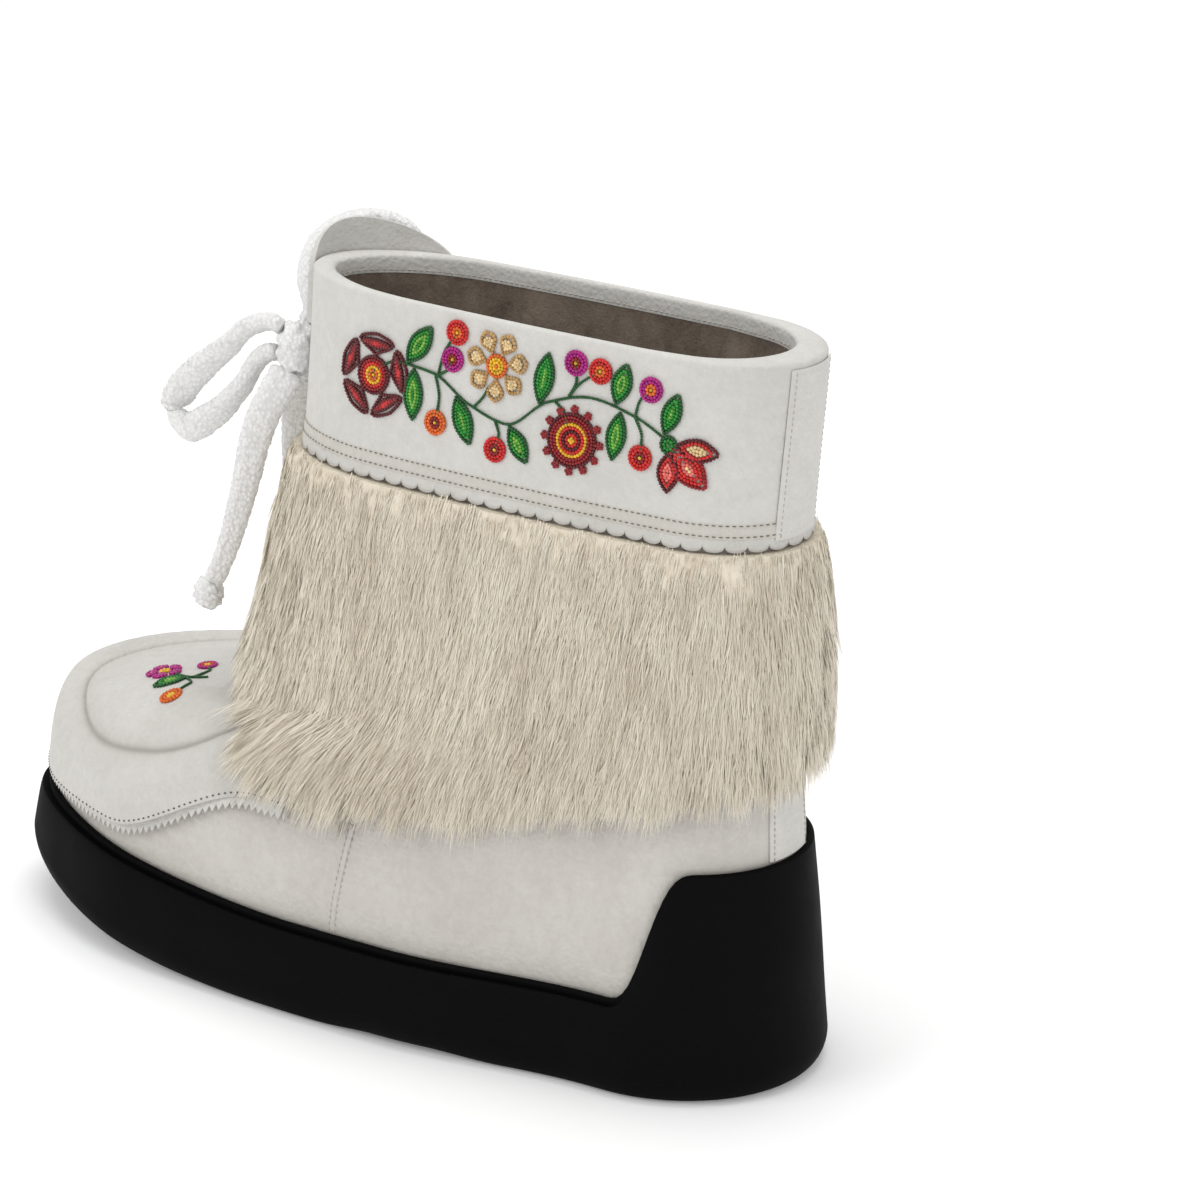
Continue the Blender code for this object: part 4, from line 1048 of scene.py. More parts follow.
def build_upper(leather, pile):
    """Leather outside, with painted shade by the lip, under the fur and under the toe overlay, and fleece
    lining inside.
    """
    columns = 288
    turns = even_turns(columns)
    outer_levels = np.linspace(0, COLLAR_RING, 64)[:, None] * np.ones(columns)
    outer = skin(outer_levels, turns, leather_creases(outer_levels, turns))
    near_rim = ease(sample(POINTS, outer_levels[::-6], turns)[..., 2], *RIM_BLEND)
    middle = skin(outer_levels[::-6], turns, -0.0012 + 0.0009 * near_rim)
    # Painted shade, stored on the leather's points: darker just above the sole's lip, under the fur band and
    # in a line below the toe overlay's pinked edge.
    over_lip = outer[..., 2] - lip_height(turns)
    under_fur = fur_low(turns) - 0.002 - outer[..., 2]
    shade = 0.30 * (1 - ease(over_lip, 0.0, 0.0016)) + 0.10 * (1 - ease(over_lip, 0.0, 0.008))
    shade += 0.13 * (1 - ease(under_fur, 0.0, 0.016))
    under_toe = (outer[..., 2] - overlay_edge(turns) + 0.0016) / 0.0022
    shade += 0.42 * np.exp(-(under_toe ** 2)) * ease(np.abs(np.sin(turns / 2)), 0.72, 0.78)
    mesh = mark(shell(np.concatenate([outer, middle]), True), "crease", np.clip(shade, 0, 1))
    new_piece("upper_leather", mesh, leather, "upper", "upper_leather")
    columns = 240
    turns = even_turns(columns)
    levels = np.linspace(0.05, COLLAR_RING, 76)[:, None] * np.ones(columns)
    points = sample(POINTS, levels, turns)
    walk = along_share(turns) * 5
    folds = (0.0021 * np.sin(walk * 9 + 1.8 * np.sin(points[..., 2] * 21)) * np.sin(walk * 3.1 + 0.5)
             + 0.0016 * waves(turns * 3 + points[..., 2] * 8, 7, 6, 2, 9))
    fade = ease(levels, 2.0, 5.0) * (1 - ease(points[..., 2], COLLAR_HEIGHT - 0.014, COLLAR_HEIGHT - 0.006))
    thin = ease(points[..., 2], *RIM_BLEND)
    end = ease(points[..., 2], COLLAR_HEIGHT - 0.060, COLLAR_HEIGHT - 0.005)
    wall = -WALL + thin * (WALL - RIM_INSIDE + 0.0003) - end * rim_pinch(turns)
    pits = np.random.RandomState(3).uniform(-0.00012, 0.00012, levels.shape)
    inside = skin(levels, turns, wall + folds * fade + pits)
    back = skin(levels[::-7], turns, np.maximum(wall + 0.0002, -0.0013)[::-7])
    new_piece("fleece_lining", shell(np.concatenate([inside, back]), True), pile, None, "fleece_footbed")


FOOTBED_RINGS = (
    # share of the outline, height
    (0.93, 0.0), (0.95, 0.0012), (0.95, 0.0028), (0.94, 0.0036), (0.91, 0.0040),
    (0.80, 0.0041), (0.60, 0.0040), (0.40, 0.0038), (0.20, 0.0037),
)


def build_footbed(pile):
    """Fleece insole with a soft edge and a slight dish under the heel and ball."""
    columns = 160
    turns = even_turns(columns)
    ring = skin(0.0, turns, 0.0)
    middle = ring.copy()
    middle[:, 0] = (ring[:, 0] + ring[(-np.arange(columns)) % columns, 0]) / 2
    base = ring[:, 2] + CLEARANCE
    rings = []
    for grow, height in FOOTBED_RINGS:
        layer = middle + (ring - middle) * grow
        centre = np.array([0, LENGTH * (LENGTHWISE_CENTRE - 0.505)])
        layer[:, 1] = centre[1] + (layer[:, 1] - centre[1]) * (0.975 if grow > 0.85 else 0.965)
        layer[:, 2] = base + height
        rings.append(layer)
    new_piece("fleece_insole", stacked(np.array(rings)), pile, "insole", "fleece_footbed")


def sew_row(name, points, facings, pitch, shape, finish, slot, closed=False):
    """Row of stitches along a path."""
    count = len(points)
    edges = [(k, k + 1) for k in range(count - 1)] + ([(count - 1, 0)] if closed else [])
    base = point_cloud(points, facings, edges=edges)
    mesh = grown(base, rows, {"Shape": shape, "Pitch": pitch, "Finish": finish})
    new_piece(name, mesh, finish, None, slot)


def sew_on_skin(name, levels, turns, offset, pitch, shape, finish, slot):
    """Row of stitches along levels and turns of the skin."""
    sew_row(name, skin(levels, turns, offset), facing(levels, turns), pitch, shape, finish, slot)


def sheet(levels, turns, near, outer_offset):
    """Closed sheet on the skin, from an even inner face to its outer face."""
    outer = skin(levels, turns, np.broadcast_to(outer_offset, levels.shape))
    inner = skin(levels[::-3], turns, near)
    return shell(np.concatenate([outer, inner]), False)


def build_side_seams(grey, leather, dash):
    """Double seam over a low fold, down both sides of the vamp."""
    heights = np.linspace(0.030, 0.066, 24)
    seam = SEAM_FOOT - (heights - 0.031) * SEAM_LEAN
    for side, sign in (("outer", 1), ("inner", -1)):
        for row, shift in enumerate((0.0, SEAM_GAP)):
            turns = turn_at_length(seam + shift, heights, sign)
            levels = level_at(heights, turns)
            name = "vamp_seam_%s_%d" % (side, row)
            sew_on_skin(name, levels, turns, 0.0001, 0.0022, dash, grey, "upper_leather")
        turns = turn_at_length(seam + SEAM_GAP / 2, heights, sign)
        levels = level_at(heights, turns)
        ridge("vamp_seam_fold_" + side, levels, turns, 0.0009, 0.00035, leather)


def turn_at_length(lengths, heights, sign):
    """Turn at which the skin has a length from the heel at a height."""
    found = []
    tries = np.linspace(0.02, math.pi - 0.02, 240)
    angles = tries * sign % FULL_TURN
    for length, height in zip(lengths, heights):
        points = sample(POINTS, level_at(height, angles), angles)
        found.append(np.interp(length, LENGTH * LENGTHWISE_CENTRE - points[:, 1], tries) * sign % FULL_TURN)
    return np.array(found)


def ridge(name, levels, turns, half_width, height, finish):
    """Low rounded welt along a path on the skin."""
    middle = skin(levels, turns, 0.0)
    up = facing(levels, turns)
    run = unit(np.gradient(middle, axis=0))
    across = unit(np.cross(up, run))
    angles = np.linspace(0, math.pi, 7)
    close = end_round(steps_to_end(len(levels)) / 2 + 0.05)
    rise = up * (height * close)[:, None]
    outer = np.stack([middle + across * half_width * math.cos(a) + rise * math.sin(a) for a in angles])
    inner = np.stack([middle + across * half_width * math.cos(a) * 0.9 - up * 0.0004 for a in angles[::-1]])
    new_piece(name, shell(np.concatenate([outer, inner]), False), finish, None, "upper_leather")


# Toe overlay
def overlay_edge(turn):
    """Height of the lower edge of the toe overlay."""
    return TOE_HEIGHT * (0.535 + 0.27 * (1 - ease(along_share(turn), 0.60, 0.80)))


def plug_reach(points):
    """Distance from the plug's middle, 1 on its edge."""
    along = LENGTH * (LENGTHWISE_CENTRE - PLUG_SHARE) - points[..., 1]
    return np.hypot((points[..., 0] + PLUG_SIDE) / (PLUG_WIDTH / 2), along / (PLUG_LENGTH / 2))


def overlay_relief(levels, turns):
    """Puffed roll, tight seam groove and sunken plug of the moccasin toe."""
    points = sample(POINTS, levels, turns)
    reach = plug_reach(points)
    angle = np.arctan2((points[..., 0] + PLUG_SIDE) / PLUG_WIDTH,
                       (LENGTH * (LENGTHWISE_CENTRE - PLUG_SHARE) - points[..., 1]) / PLUG_LENGTH)
    roll = np.exp(-(((reach - 1.12) / np.where(reach < 1.12, 0.062, 0.105)) ** 2))
    seam = np.exp(-(((reach - 1.0) / 0.016) ** 2))
    sink = 1 - ease(reach, 0.86, 1.0)
    far = ease(-points[..., 0], 0.0, 0.028) * np.exp(-(((reach - 1.05) / 0.35) ** 2))
    pull = 0.00018 * np.cos(angle * 46) * np.exp(-(((reach - 1.07) / 0.05) ** 2))
    folds = np.sin(points[..., 1] * 210 + 3 * np.sin(points[..., 0] * 60))
    wrinkle = 0.00022 * folds * ease(reach, 1.25, 1.6)
    raised = 0.0027 * roll + 0.0006 * far - 0.0009 * seam - 0.0013 * sink
    return OVERLAY_GAP + OVERLAY_THICKNESS + raised + pull + wrinkle


def build_toe(leather, edging, grey, dash):
    """Toe overlay with its pinked trim, stitches beside it and the seam round the plug."""
    reach = FULL_TURN * OVERLAY_REACH
    columns = 321
    turns = turns_by_length(1.6, columns, math.pi - reach, math.pi + reach)
    low = level_at(overlay_edge(turns) + 0.0011, turns)
    high = down_along(level_at(fur_low(turns), turns), turns, -0.010)
    share = np.concatenate([[0, 0.006], np.linspace(0.016, 1, 108)])
    levels = low + (high - low) * share[:, None]
    outer = skin(levels, turns, overlay_relief(levels, turns))
    outer[0] = skin(levels[0], turns, OVERLAY_GAP + OVERLAY_THICKNESS * 0.6)
    inner = skin(levels[::-13], turns, OVERLAY_GAP)
    inner = np.concatenate([inner[:-1], skin(levels[:1], turns, OVERLAY_GAP)])
    # Painted shade, stored on the overlay's points: dark in the seam groove round the plug, along the
    # overlay's lower edge and near the fur.
    ring_reach = plug_reach(sample(POINTS, levels, turns))
    shade = 0.50 * np.exp(-(((ring_reach - 1.0) / 0.011) ** 2))
    shade += 0.14 * np.exp(-(((ring_reach - 0.99) / 0.04) ** 2))
    shade[:2] += 0.25
    to_fur = np.linalg.norm(outer - outer[-1], axis=-1)
    shade += 0.16 * (1 - ease(to_fur, 0.008, 0.024))
    mesh = mark(strip(np.concatenate([outer, inner])), "crease", np.clip(shade, 0, 1))
    new_piece("toe_overlay_leather", mesh, leather, "toe_overlay", "toe_leather")
    fine = turns_by_length(1.6, PINKED_TEETH * 4 + 1, math.pi - reach, math.pi + reach)
    tooth = np.abs(1 - np.arange(len(fine)) % 4 / 2)
    trim = []
    for rise, cut, lift in PINKED_ROWS:
        level = level_at(overlay_edge(fine) + rise - PINKED_DEPTH * cut * tooth, fine)
        trim.append(skin(level, fine, OVERLAY_GAP + 0.0008 + lift))
    new_piece("toe_pinked_trim", strip(np.array(trim)), edging, None, "toe_leather")
    path_turns = turns[4:-4:3]
    edge = level_at(overlay_edge(path_turns) + 0.0026, path_turns)
    above = overlay_relief(edge, path_turns) + 0.0001
    sew_on_skin("overlay_edge_stitches", edge, path_turns, above, 0.0023, dash, grey, "toe_leather")


def strip(section):
    """Closed strip: rings of points along it, and its two ends."""
    index, faces = grid_faces(*section.shape[:2], True, False)
    faces += [tuple(index[::-1, 0]), tuple(index[:, -1])]
    return mesh_of(section, faces)


TOP_TURNS = even_turns(GRID_COLUMNS)
TOP_ROWS = slice(40, 110)


def skin_under(x, y):
    """Level and turn of the vamp's upper face below a point of the plan."""
    plan = POINTS[TOP_ROWS, :, :2]
    away = (plan[..., 0] - x) ** 2 + (plan[..., 1] - y) ** 2
    i, j = np.unravel_index(np.argmin(away), away.shape)
    level, turn = GRID_LEVELS[TOP_ROWS][i], TOP_TURNS[j]
    for _ in range(6):
        here = sample(POINTS, level, np.array(turn))[:2]
        by_level = (sample(POINTS, level + 0.02, np.array(turn))[:2] - here) / 0.02
        by_turn = (sample(POINTS, level, np.array(turn + 0.01))[:2] - here) / 0.01
        step = np.linalg.lstsq(np.stack([by_level, by_turn], 1), np.array([x, y]) - here, rcond=None)[0]
        level = float(np.clip(level + np.clip(step[0], -0.2, 0.2), 0.5, 6.0))
        turn = turn + float(np.clip(step[1], -0.1, 0.1))
    return level, turn


# Fur
def tuft_shape(number):
    """One tuft: fine flat hairs that rise a little and lie along the hide."""
    draw = np.random.RandomState(40 + number)
    points, faces, along, tone = [], [], [], []
    steps = np.array([0.0, 0.45, 1.0])
    for _ in range(TUFT_HAIRS):
        root = draw.uniform(-0.0030, 0.0030, 2)
        length = draw.uniform(0.0095, 0.0160)
        lift = draw.uniform(0.0005, 0.0017)
        gather = draw.uniform(0.0, 0.28)
        sway = draw.normal(0, 0.0011)
        width = draw.uniform(0.00011, 0.00022)
        roll = draw.uniform(-0.7, 0.7)
        shade = draw.uniform(0, 1)
        start = len(points)
        for step in steps:
            out = lift * math.sin(min(step * 1.25, 1.0) * math.pi / 2) + 0.0001
            side = root[1] * (1 - gather * step) + sway * step * step
            down = length * step + root[0]
            half = width * (1 - step) ** 0.5
            reach = (half * math.sin(roll), half * math.cos(roll))
            tone.append(shade)
            along.append(step)
            if step < 1:
                tone.append(shade)
                along.append(step)
                points += [(out - reach[0], side - reach[1], down), (out + reach[0], side + reach[1], down)]
            else:
                points.append((out, side, down))
        faces.append((start, start + 1, start + 3, start + 2))
        faces.append((start + 2, start + 3, start + 4))
    mesh = bpy.data.meshes.new("tuft_%d" % number)
    mesh.from_pydata(points, [], faces)
    give(mesh, "along", along)
    give(mesh, "hair", tone)
    mesh.shade_smooth()
    tufts.objects.link(bpy.data.objects.new(mesh.name, mesh))


def fur_profile(part):
    """Depth of the undercoat over the hide: full below, tucked in under the cuff."""
    bulge = end_round(part / 0.20) * (0.50 + 0.50 * end_round((1 - part) / 0.22))
    return FUR_GAP + 0.0008 + (FUR_DEPTH - 0.0046) * bulge


def down_hill(out):
    """The downward direction, flattened into surfaces that face out."""
    upward = np.array([0, 0, 1.0])
    return out * (out * upward).sum(-1)[..., None] - upward


def fur_field(levels, turns, part):
    """Hide points, combing and fullness for the tufts."""
    swell = 1 + 0.07 * waves(turns + levels * 0.35, 5, 7, 3, 14)
    points = skin(levels, turns, fur_profile(part) * swell)
    down = unit(sample(POINTS, levels - 0.05, turns) - sample(POINTS, levels + 0.05, turns))
    beside = turns + 0.01 * np.sign(np.sin(turns) + 1e-6)
    toe_ward = unit(sample(POINTS, levels, beside) - sample(POINTS, levels, turns))
    out = facing(levels, turns)
    drift = 0.16 + 0.16 * waves(turns * 2 + levels * 0.9, 9, 6, 2, 9)
    drift = drift + 0.08 * waves(turns * 7 - levels * 2.1, 21, 6, 3, 17)
    ends = np.abs(np.sin(turns)) ** 0.5 * (1 - 0.7 * ease(np.abs(np.sin(turns / 2)), 0.70, 0.92))
    combing = 0.8 * down + 2.0 * down_hill(out) + toe_ward * (drift * ends)[..., None]
    combing = combing + out * (0.035 + 0.09 * (1 - part) ** 3)[..., None]
    fullness = 0.95 + 0.16 * waves(turns * 3 - levels * 1.1, 12, 7, 3, 17)
    fullness = fullness * (0.70 + 0.30 * ease(1 - part, 0, 0.25))
    return points, unit(combing), fullness


def soft_normals(mesh):
    """Shade each hair nearly as the coat it lies in, so that the fur looks dense."""
    count = len(mesh.vertices)
    own, coat = np.empty(count * 3, np.float32), np.empty(count * 3, np.float32)
    mesh.vertex_normals.foreach_get("vector", own)
    mesh.attributes["coat"].data.foreach_get("vector", coat)
    shading = unit(own.reshape(-1, 3) * 0.14 + coat.reshape(-1, 3))
    mesh.normals_split_custom_set_from_vertices(shading.tolist())
    mesh.attributes.remove(mesh.attributes["coat"])


def evened(field, times=1):
    """Rows of a field, each averaged with its neighbours above and below."""
    for _ in range(times):
        wide = np.concatenate([field[:1]] * 2 + [field] + [field[-1:]] * 2)
        field = sum(wide[k:k + len(field)] * weight for k, weight in enumerate((0.1, 0.25, 0.3, 0.25, 0.1)))
    return field


def build_fur(cream, wool):
    """Deep fur band: a woolly hide and tufts over it, in four stretches round the boot."""
    for number in range(TUFT_KINDS):
        tuft_shape(number)
    columns = 288
    turns = even_turns(columns)
    ragged = 0.0014 * waves(turns * 5, 31, 7, 3, 19)
    at_toe = ease(np.abs(np.sin(turns / 2)), 0.80, 0.97)
    drop = ragged - 0.0098 - 0.0020 * at_toe
    low = down_along(level_at(fur_low(turns), turns), turns, drop)
    high = level_at(HEM_HEIGHT - 0.0018, turns)
    share = np.linspace(0, 1, 30)[:, None]
    levels = low + (high - low) * share
    part = np.broadcast_to(share, levels.shape)
    outer, combing, fullness = fur_field(levels, turns, part)
    rounded = evened(outer, 4)
    outer = outer + (rounded - outer) * (ease(share, 0.0, 0.15) * (1 - ease(share, 0.85, 1.0)))[..., None]
    bumps = np.random.RandomState(8).uniform(-0.0003, 0.0003, levels.shape)
    hide_outer = outer + facing(levels, turns) * bumps[..., None]
    inner = skin(levels[::-7], turns, FUR_GAP * 0.6)
    new_piece("fur_hide", shell(np.concatenate([hide_outer, inner]), True), wool, "fur_band", "fur")
    tree = fur_tree()
    edge_out = skin(levels[:1], turns, FUR_GAP + 0.0004)
    outer = np.concatenate([edge_out, outer])
    combing = np.concatenate([combing[:1], combing])
    fullness = np.concatenate([fullness[:1], fullness])
    coat = np.concatenate([facing(levels[:1], turns), facing(levels, turns)])
    for _ in range(6):
        combing, coat = (unit(evened(field)) for field in (combing, coat))
    for number, (name, first, last) in enumerate(FUR_STRETCHES):
        picked = np.arange(first, last + 1) % columns
        _, faces = grid_faces(len(outer), len(picked), False, False)
        base = bpy.data.meshes.new("hide_" + name)
        base.from_pydata(outer[:, picked].reshape(-1, 3).tolist(), [], faces)
        for title, field in (("combing", combing), ("coat", coat), ("fullness", fullness)):
            give(base, title, field[:, picked])
        middle = base.polygons[len(base.polygons) // 2]
        if middle.normal.dot(Vector(facing(5.0, turns[picked[len(picked) // 2]]))) < 0:
            base.flip_normals()
        mesh = grown(base, tree, {"Tufts": tufts, "Density": FUR_DENSITY, "Seed": 7 + number, "Short": 0.80,
                                  "Long": 1.12, "Stray": 0.12, "Finish": cream})
        soft_normals(mesh)
        new_piece("fur_hair_" + name, mesh, cream, None, "fur")


# Cuff
def cuff_sag(levels, turns):
    """Very soft waves of the cuff's leather."""
    heights = sample(POINTS, levels, turns)[..., 2]
    part = np.clip((heights - HEM_HEIGHT) / (COLLAR_HEIGHT - HEM_HEIGHT), 0, 1)
    side = np.abs(np.sin(turns)) ** 2
    return side * np.sin(part * math.pi) * 0.0006 * waves(turns * 2, 17, 5, 1, 6)


def build_cuff(leather, grey, faint, tan, dash):
    """Smooth cuff: scalloped hem, folded rim, two rows of stitches and a sewn inner edge."""
    columns = SCALLOPS * SCALLOP_POINTS
    turns = turns_by_length(7.8, columns + 1)[:-1]
    phase = (np.arange(columns) % SCALLOP_POINTS) / SCALLOP_POINTS
    bow = np.sqrt(np.maximum(1 - (2 * phase - 1) ** 2, 0))
    hem = HEM_HEIGHT + 0.0006 - 0.0017 * bow
    hem_level = level_at(hem, turns)
    top = COLLAR_RING
    outer = CLEARANCE + CUFF_THICKNESS
    shares = np.concatenate([[0.0, 0.03, 0.08], np.linspace(0.16, 0.97, 14)])
    section = []
    for k, share in enumerate(shares):
        level = hem_level + (top - hem_level) * share
        flare = HEM_FLARE * max(1 - share * 9, 0)
        section.append(skin(level, turns, outer + flare + cuff_sag(level, turns)))
    inside = -RIM_INSIDE - rim_pinch(turns)
    half, lift = (outer - inside) / 2, np.array([0, 0, 1.0])
    for angle in np.linspace(0.0, 1.0, 11) * math.pi:
        rise = 0.0016 * math.sin(angle) ** 0.8 + 0.0002
        section.append(skin(top, turns, inside + half * (1 + math.cos(angle))) + lift * rise)
    turned = level_at(COLLAR_HEIGHT - CUFF_TURN_IN, turns)
    section.append(skin(top + (turned - top) * 0.5, turns, inside - 0.0001))
    section.append(skin(turned, turns, inside))
    section.append(skin(turned, turns, inside + 0.0002))
    section.append(skin(top, turns, inside + 0.00025))
    section.append(skin(top, turns, 0.0))
    section.append(skin(hem_level, turns, CLEARANCE))
    # Painted shade, stored on the cuff's points: darker along the scalloped hem.
    shade = np.zeros((len(section), columns))
    for k, share in enumerate(shares):
        shade[k] = 0.42 * (1 - ease(share, 0.0, 0.03)) + 0.05 * (1 - ease(share, 0.0, 0.3))
    mesh = mark(shell(np.array(section), True), "crease", shade)
    new_piece("cuff_leather", mesh, leather, "cuff", "cuff_leather")

    def near_hem(path, above, lift_off):
        level = level_at(HEM_HEIGHT + above, path)
        flare = HEM_FLARE * max(1 - above / (COLLAR_HEIGHT - HEM_HEIGHT) * 9, 0)
        return skin(level, path, outer + lift_off + flare + cuff_sag(level, path)), facing(level, path)

    band = [near_hem(turns[::4], above, lift_off)[0] for above, lift_off in HEM_BAND_ROWS]
    new_piece("hem_band", shell(np.array(band), True), tan, None, "cuff_leather")
    path = turns[::3]
    for row, above in enumerate((0.0037, 0.0071)):
        points, facings = near_hem(path, above, 0.00030)
        sew_row("hem_stitches_%d" % row, points, facings, 0.0020, dash, grey, "cuff_leather", True)
    level = level_at(COLLAR_HEIGHT - CUFF_TURN_IN + 0.0010, path)
    points = skin(level, path, inside[::3] - 0.0002)
    sew_row("rim_stitches", points, -facing(level, path), FINE_STITCH, dash, faint, "cuff_leather", True)


def cuff_turn(distance, side):
    """Turn that lies a distance along the cuff from the middle of its back."""
    tries = np.linspace(0, math.pi, 721)
    walked = walked_along(sample(POINTS, level_at(MID_CUFF, tries[::90]).mean(), tries))
    return np.interp(distance, walked, tries) * side % FULL_TURN


def build_stays(leather, grey, dash):
    """Flat strip down the cuff's back with a seam on each edge, and the strip above the heel cup."""
    half = STAY_WIDTH / 2
    near = CLEARANCE + CUFF_THICKNESS + 0.0003
    edges = [cuff_turn(half, 1), cuff_turn(half, -1) - FULL_TURN]
    turns = np.linspace(edges[1], edges[0], 33)
    low = level_at(HEM_HEIGHT + 0.0016, turns)
    high = level_at(COLLAR_HEIGHT - 0.0006, turns)
    levels = low + (high - low) * np.linspace(0, 1, 26)[:, None]
    rounded = near + 0.0004 * end_round((steps_to_end(33) / 2 + 0.15) / 1.2)
    mesh = sheet(levels, turns, near, rounded)
    new_piece("cuff_back_strip", mesh, leather, "cuff_back_stay", "stay_leather")
    for side, edge in (("outer", edges[0]), ("inner", edges[1])):
        turn = edge * (1 - 0.0014 / half)
        level = np.linspace(float(level_at(HEM_HEIGHT + 0.003, np.array(turn))),
                            float(level_at(COLLAR_HEIGHT - 0.002, np.array(turn))), 30)
        path = np.full(30, turn)
        name = "cuff_strip_stitches_" + side
        sew_on_skin(name, level, path, near + 0.0004, FINE_STITCH, dash, grey, "stay_leather")
    tries = np.linspace(0, 1.2, 400)
    walked = walked_along(sample(POINTS, 2.0, tries))
    reach = float(np.interp(half, walked, tries))
    turns = np.linspace(-reach, reach, 25)
    low = level_at(lip_height(turns) + 0.0006, turns)
    high = level_at(fur_low(turns) + 0.006, turns)
    levels = low + (high - low) * np.linspace(0, 1, 16)[:, None]
    rounded = CLEARANCE + 0.0007 * end_round((steps_to_end(25) / 2 + 0.1) / 1.2)
    mesh = sheet(levels, turns, CLEARANCE * 0.5, rounded)
    new_piece("heel_strip", mesh, leather, "heel_stay", "stay_leather")
    for side, share in (("outer", 0.86), ("inner", -0.86)):
        path = np.full(20, reach * share)
        level = np.linspace(float(np.interp(reach * share, turns, low)) + 0.02,
                            float(np.interp(reach * share, turns, high)), 20)
        name = "heel_strip_stitches_" + side
        sew_on_skin(name, level, path, CLEARANCE + 0.0008, FINE_STITCH, dash, grey, "stay_leather")


def build_tab(leather, grey, dash):
    """Round-topped tab on the front of the cuff, with a row of stitches inside its edge."""
    columns = 61
    before, after = TAB_TURNS
    turns = np.linspace(math.pi - before, math.pi + after, columns)
    arch = end_round(1 - np.abs(np.linspace(-1, 1, columns)))
    crown = COLLAR_HEIGHT + TAB_RISE * arch - TAB_SHOULDER * (1 - arch)
    high, low = level_at(crown, turns), level_at(COLLAR_HEIGHT - TAB_DROP, turns)
    near = CLEARANCE + CUFF_THICKNESS + CLEARANCE + 0.0004
    levels = low + (high - low) * np.linspace(0, 1, 34)[:, None]
    rise = np.linspace(0, 1, 34)[:, None]
    rim = np.minimum(rise, 1 - rise) * 12
    thick = near + TAB_THICKNESS * (0.45 + 0.55 * end_round(rim)) * np.ones(columns)
    new_piece("front_tab_leather", sheet(levels, turns, near, thick), leather, "front_tab", "cuff_leather")
    path = turns[5:-5]
    level = (high - (high - low) * 0.09)[5:-5]
    above = near + TAB_THICKNESS
    sew_on_skin("tab_stitches", level, path, above, FINE_STITCH, dash, grey, "cuff_leather")


# Beadwork
DARK_GREEN, GREEN, LIME = (0.003, 0.085, 0.012), (0.008, 0.25, 0.018), (0.20, 0.44, 0.05)
MAROON, CRIMSON, RED = (0.10, 0.002, 0.005), (0.27, 0.004, 0.008), (0.60, 0.015, 0.012)
PINK, MAGENTA, ORANGE = (0.82, 0.18, 0.15), (0.42, 0.006, 0.21), (0.76, 0.14, 0.012)
TAN, CREAM, YELLOW = (0.50, 0.30, 0.11), (0.78, 0.58, 0.30), (0.80, 0.46, 0.015)
BEAD_PITCH = 1.06

# Plan of the vine in millimetres: along the cuff from the middle of its back, and height
BRIGHT_LEAF, PALE_LEAF = (DARK_GREEN, GREEN, LIME, GREEN), (DARK_GREEN, GREEN, GREEN, LIME)
VINE_STEMS = (
    ((152, 203), (141, 209), (128, 208), (114, 201), (100, 197.5),
     (86, 207), (71, 211), (56, 208), (43, 202)),
    ((112, 200.5), (109, 204), (107, 208)),
    ((84, 208), (80, 205), (78, 201)),
)
VINE_LEAVES = (
    ((138, 209), (129, 222.5), 7.6, BRIGHT_LEAF), ((135, 208.5), (134, 191.5), 7.4, BRIGHT_LEAF),
    ((119, 203), (112, 188), 7.4, PALE_LEAF), ((99, 197.5), (91, 186.5), 6.8, BRIGHT_LEAF),
    ((89, 205.5), (87, 222.5), 7.2, PALE_LEAF), ((63, 210), (60, 224), 7.2, BRIGHT_LEAF),
    ((61, 209), (62.5, 193), 7.0, BRIGHT_LEAF), ((46, 204), (42, 218), 6.8, PALE_LEAF),
)
VINE_BERRIES = (
    ((126, 207.5), ((121, 213.5), (120, 222)), (MAGENTA, RED)), ((127, 208), ((125.5, 193),), (ORANGE,)),
    ((104, 198), ((103, 189),), (RED,)), ((79, 210), ((77.5, 220.5), (69, 219.5)), (MAGENTA, RED)),
    ((56, 208), ((53, 196), (51.5, 217)), (RED, MAGENTA)),
)
BUD_PETALS = (
    ((43, 201), (31, 189.5), 9.6, (CRIMSON, RED, RED, PINK, CREAM), 0.45),
    ((43.5, 200), (43, 186.5), 7.6, (MAROON, RED, PINK), 0.5),
    ((42, 202), (28, 200.5), 7.6, (MAROON, RED, CREAM), 0.5),
)


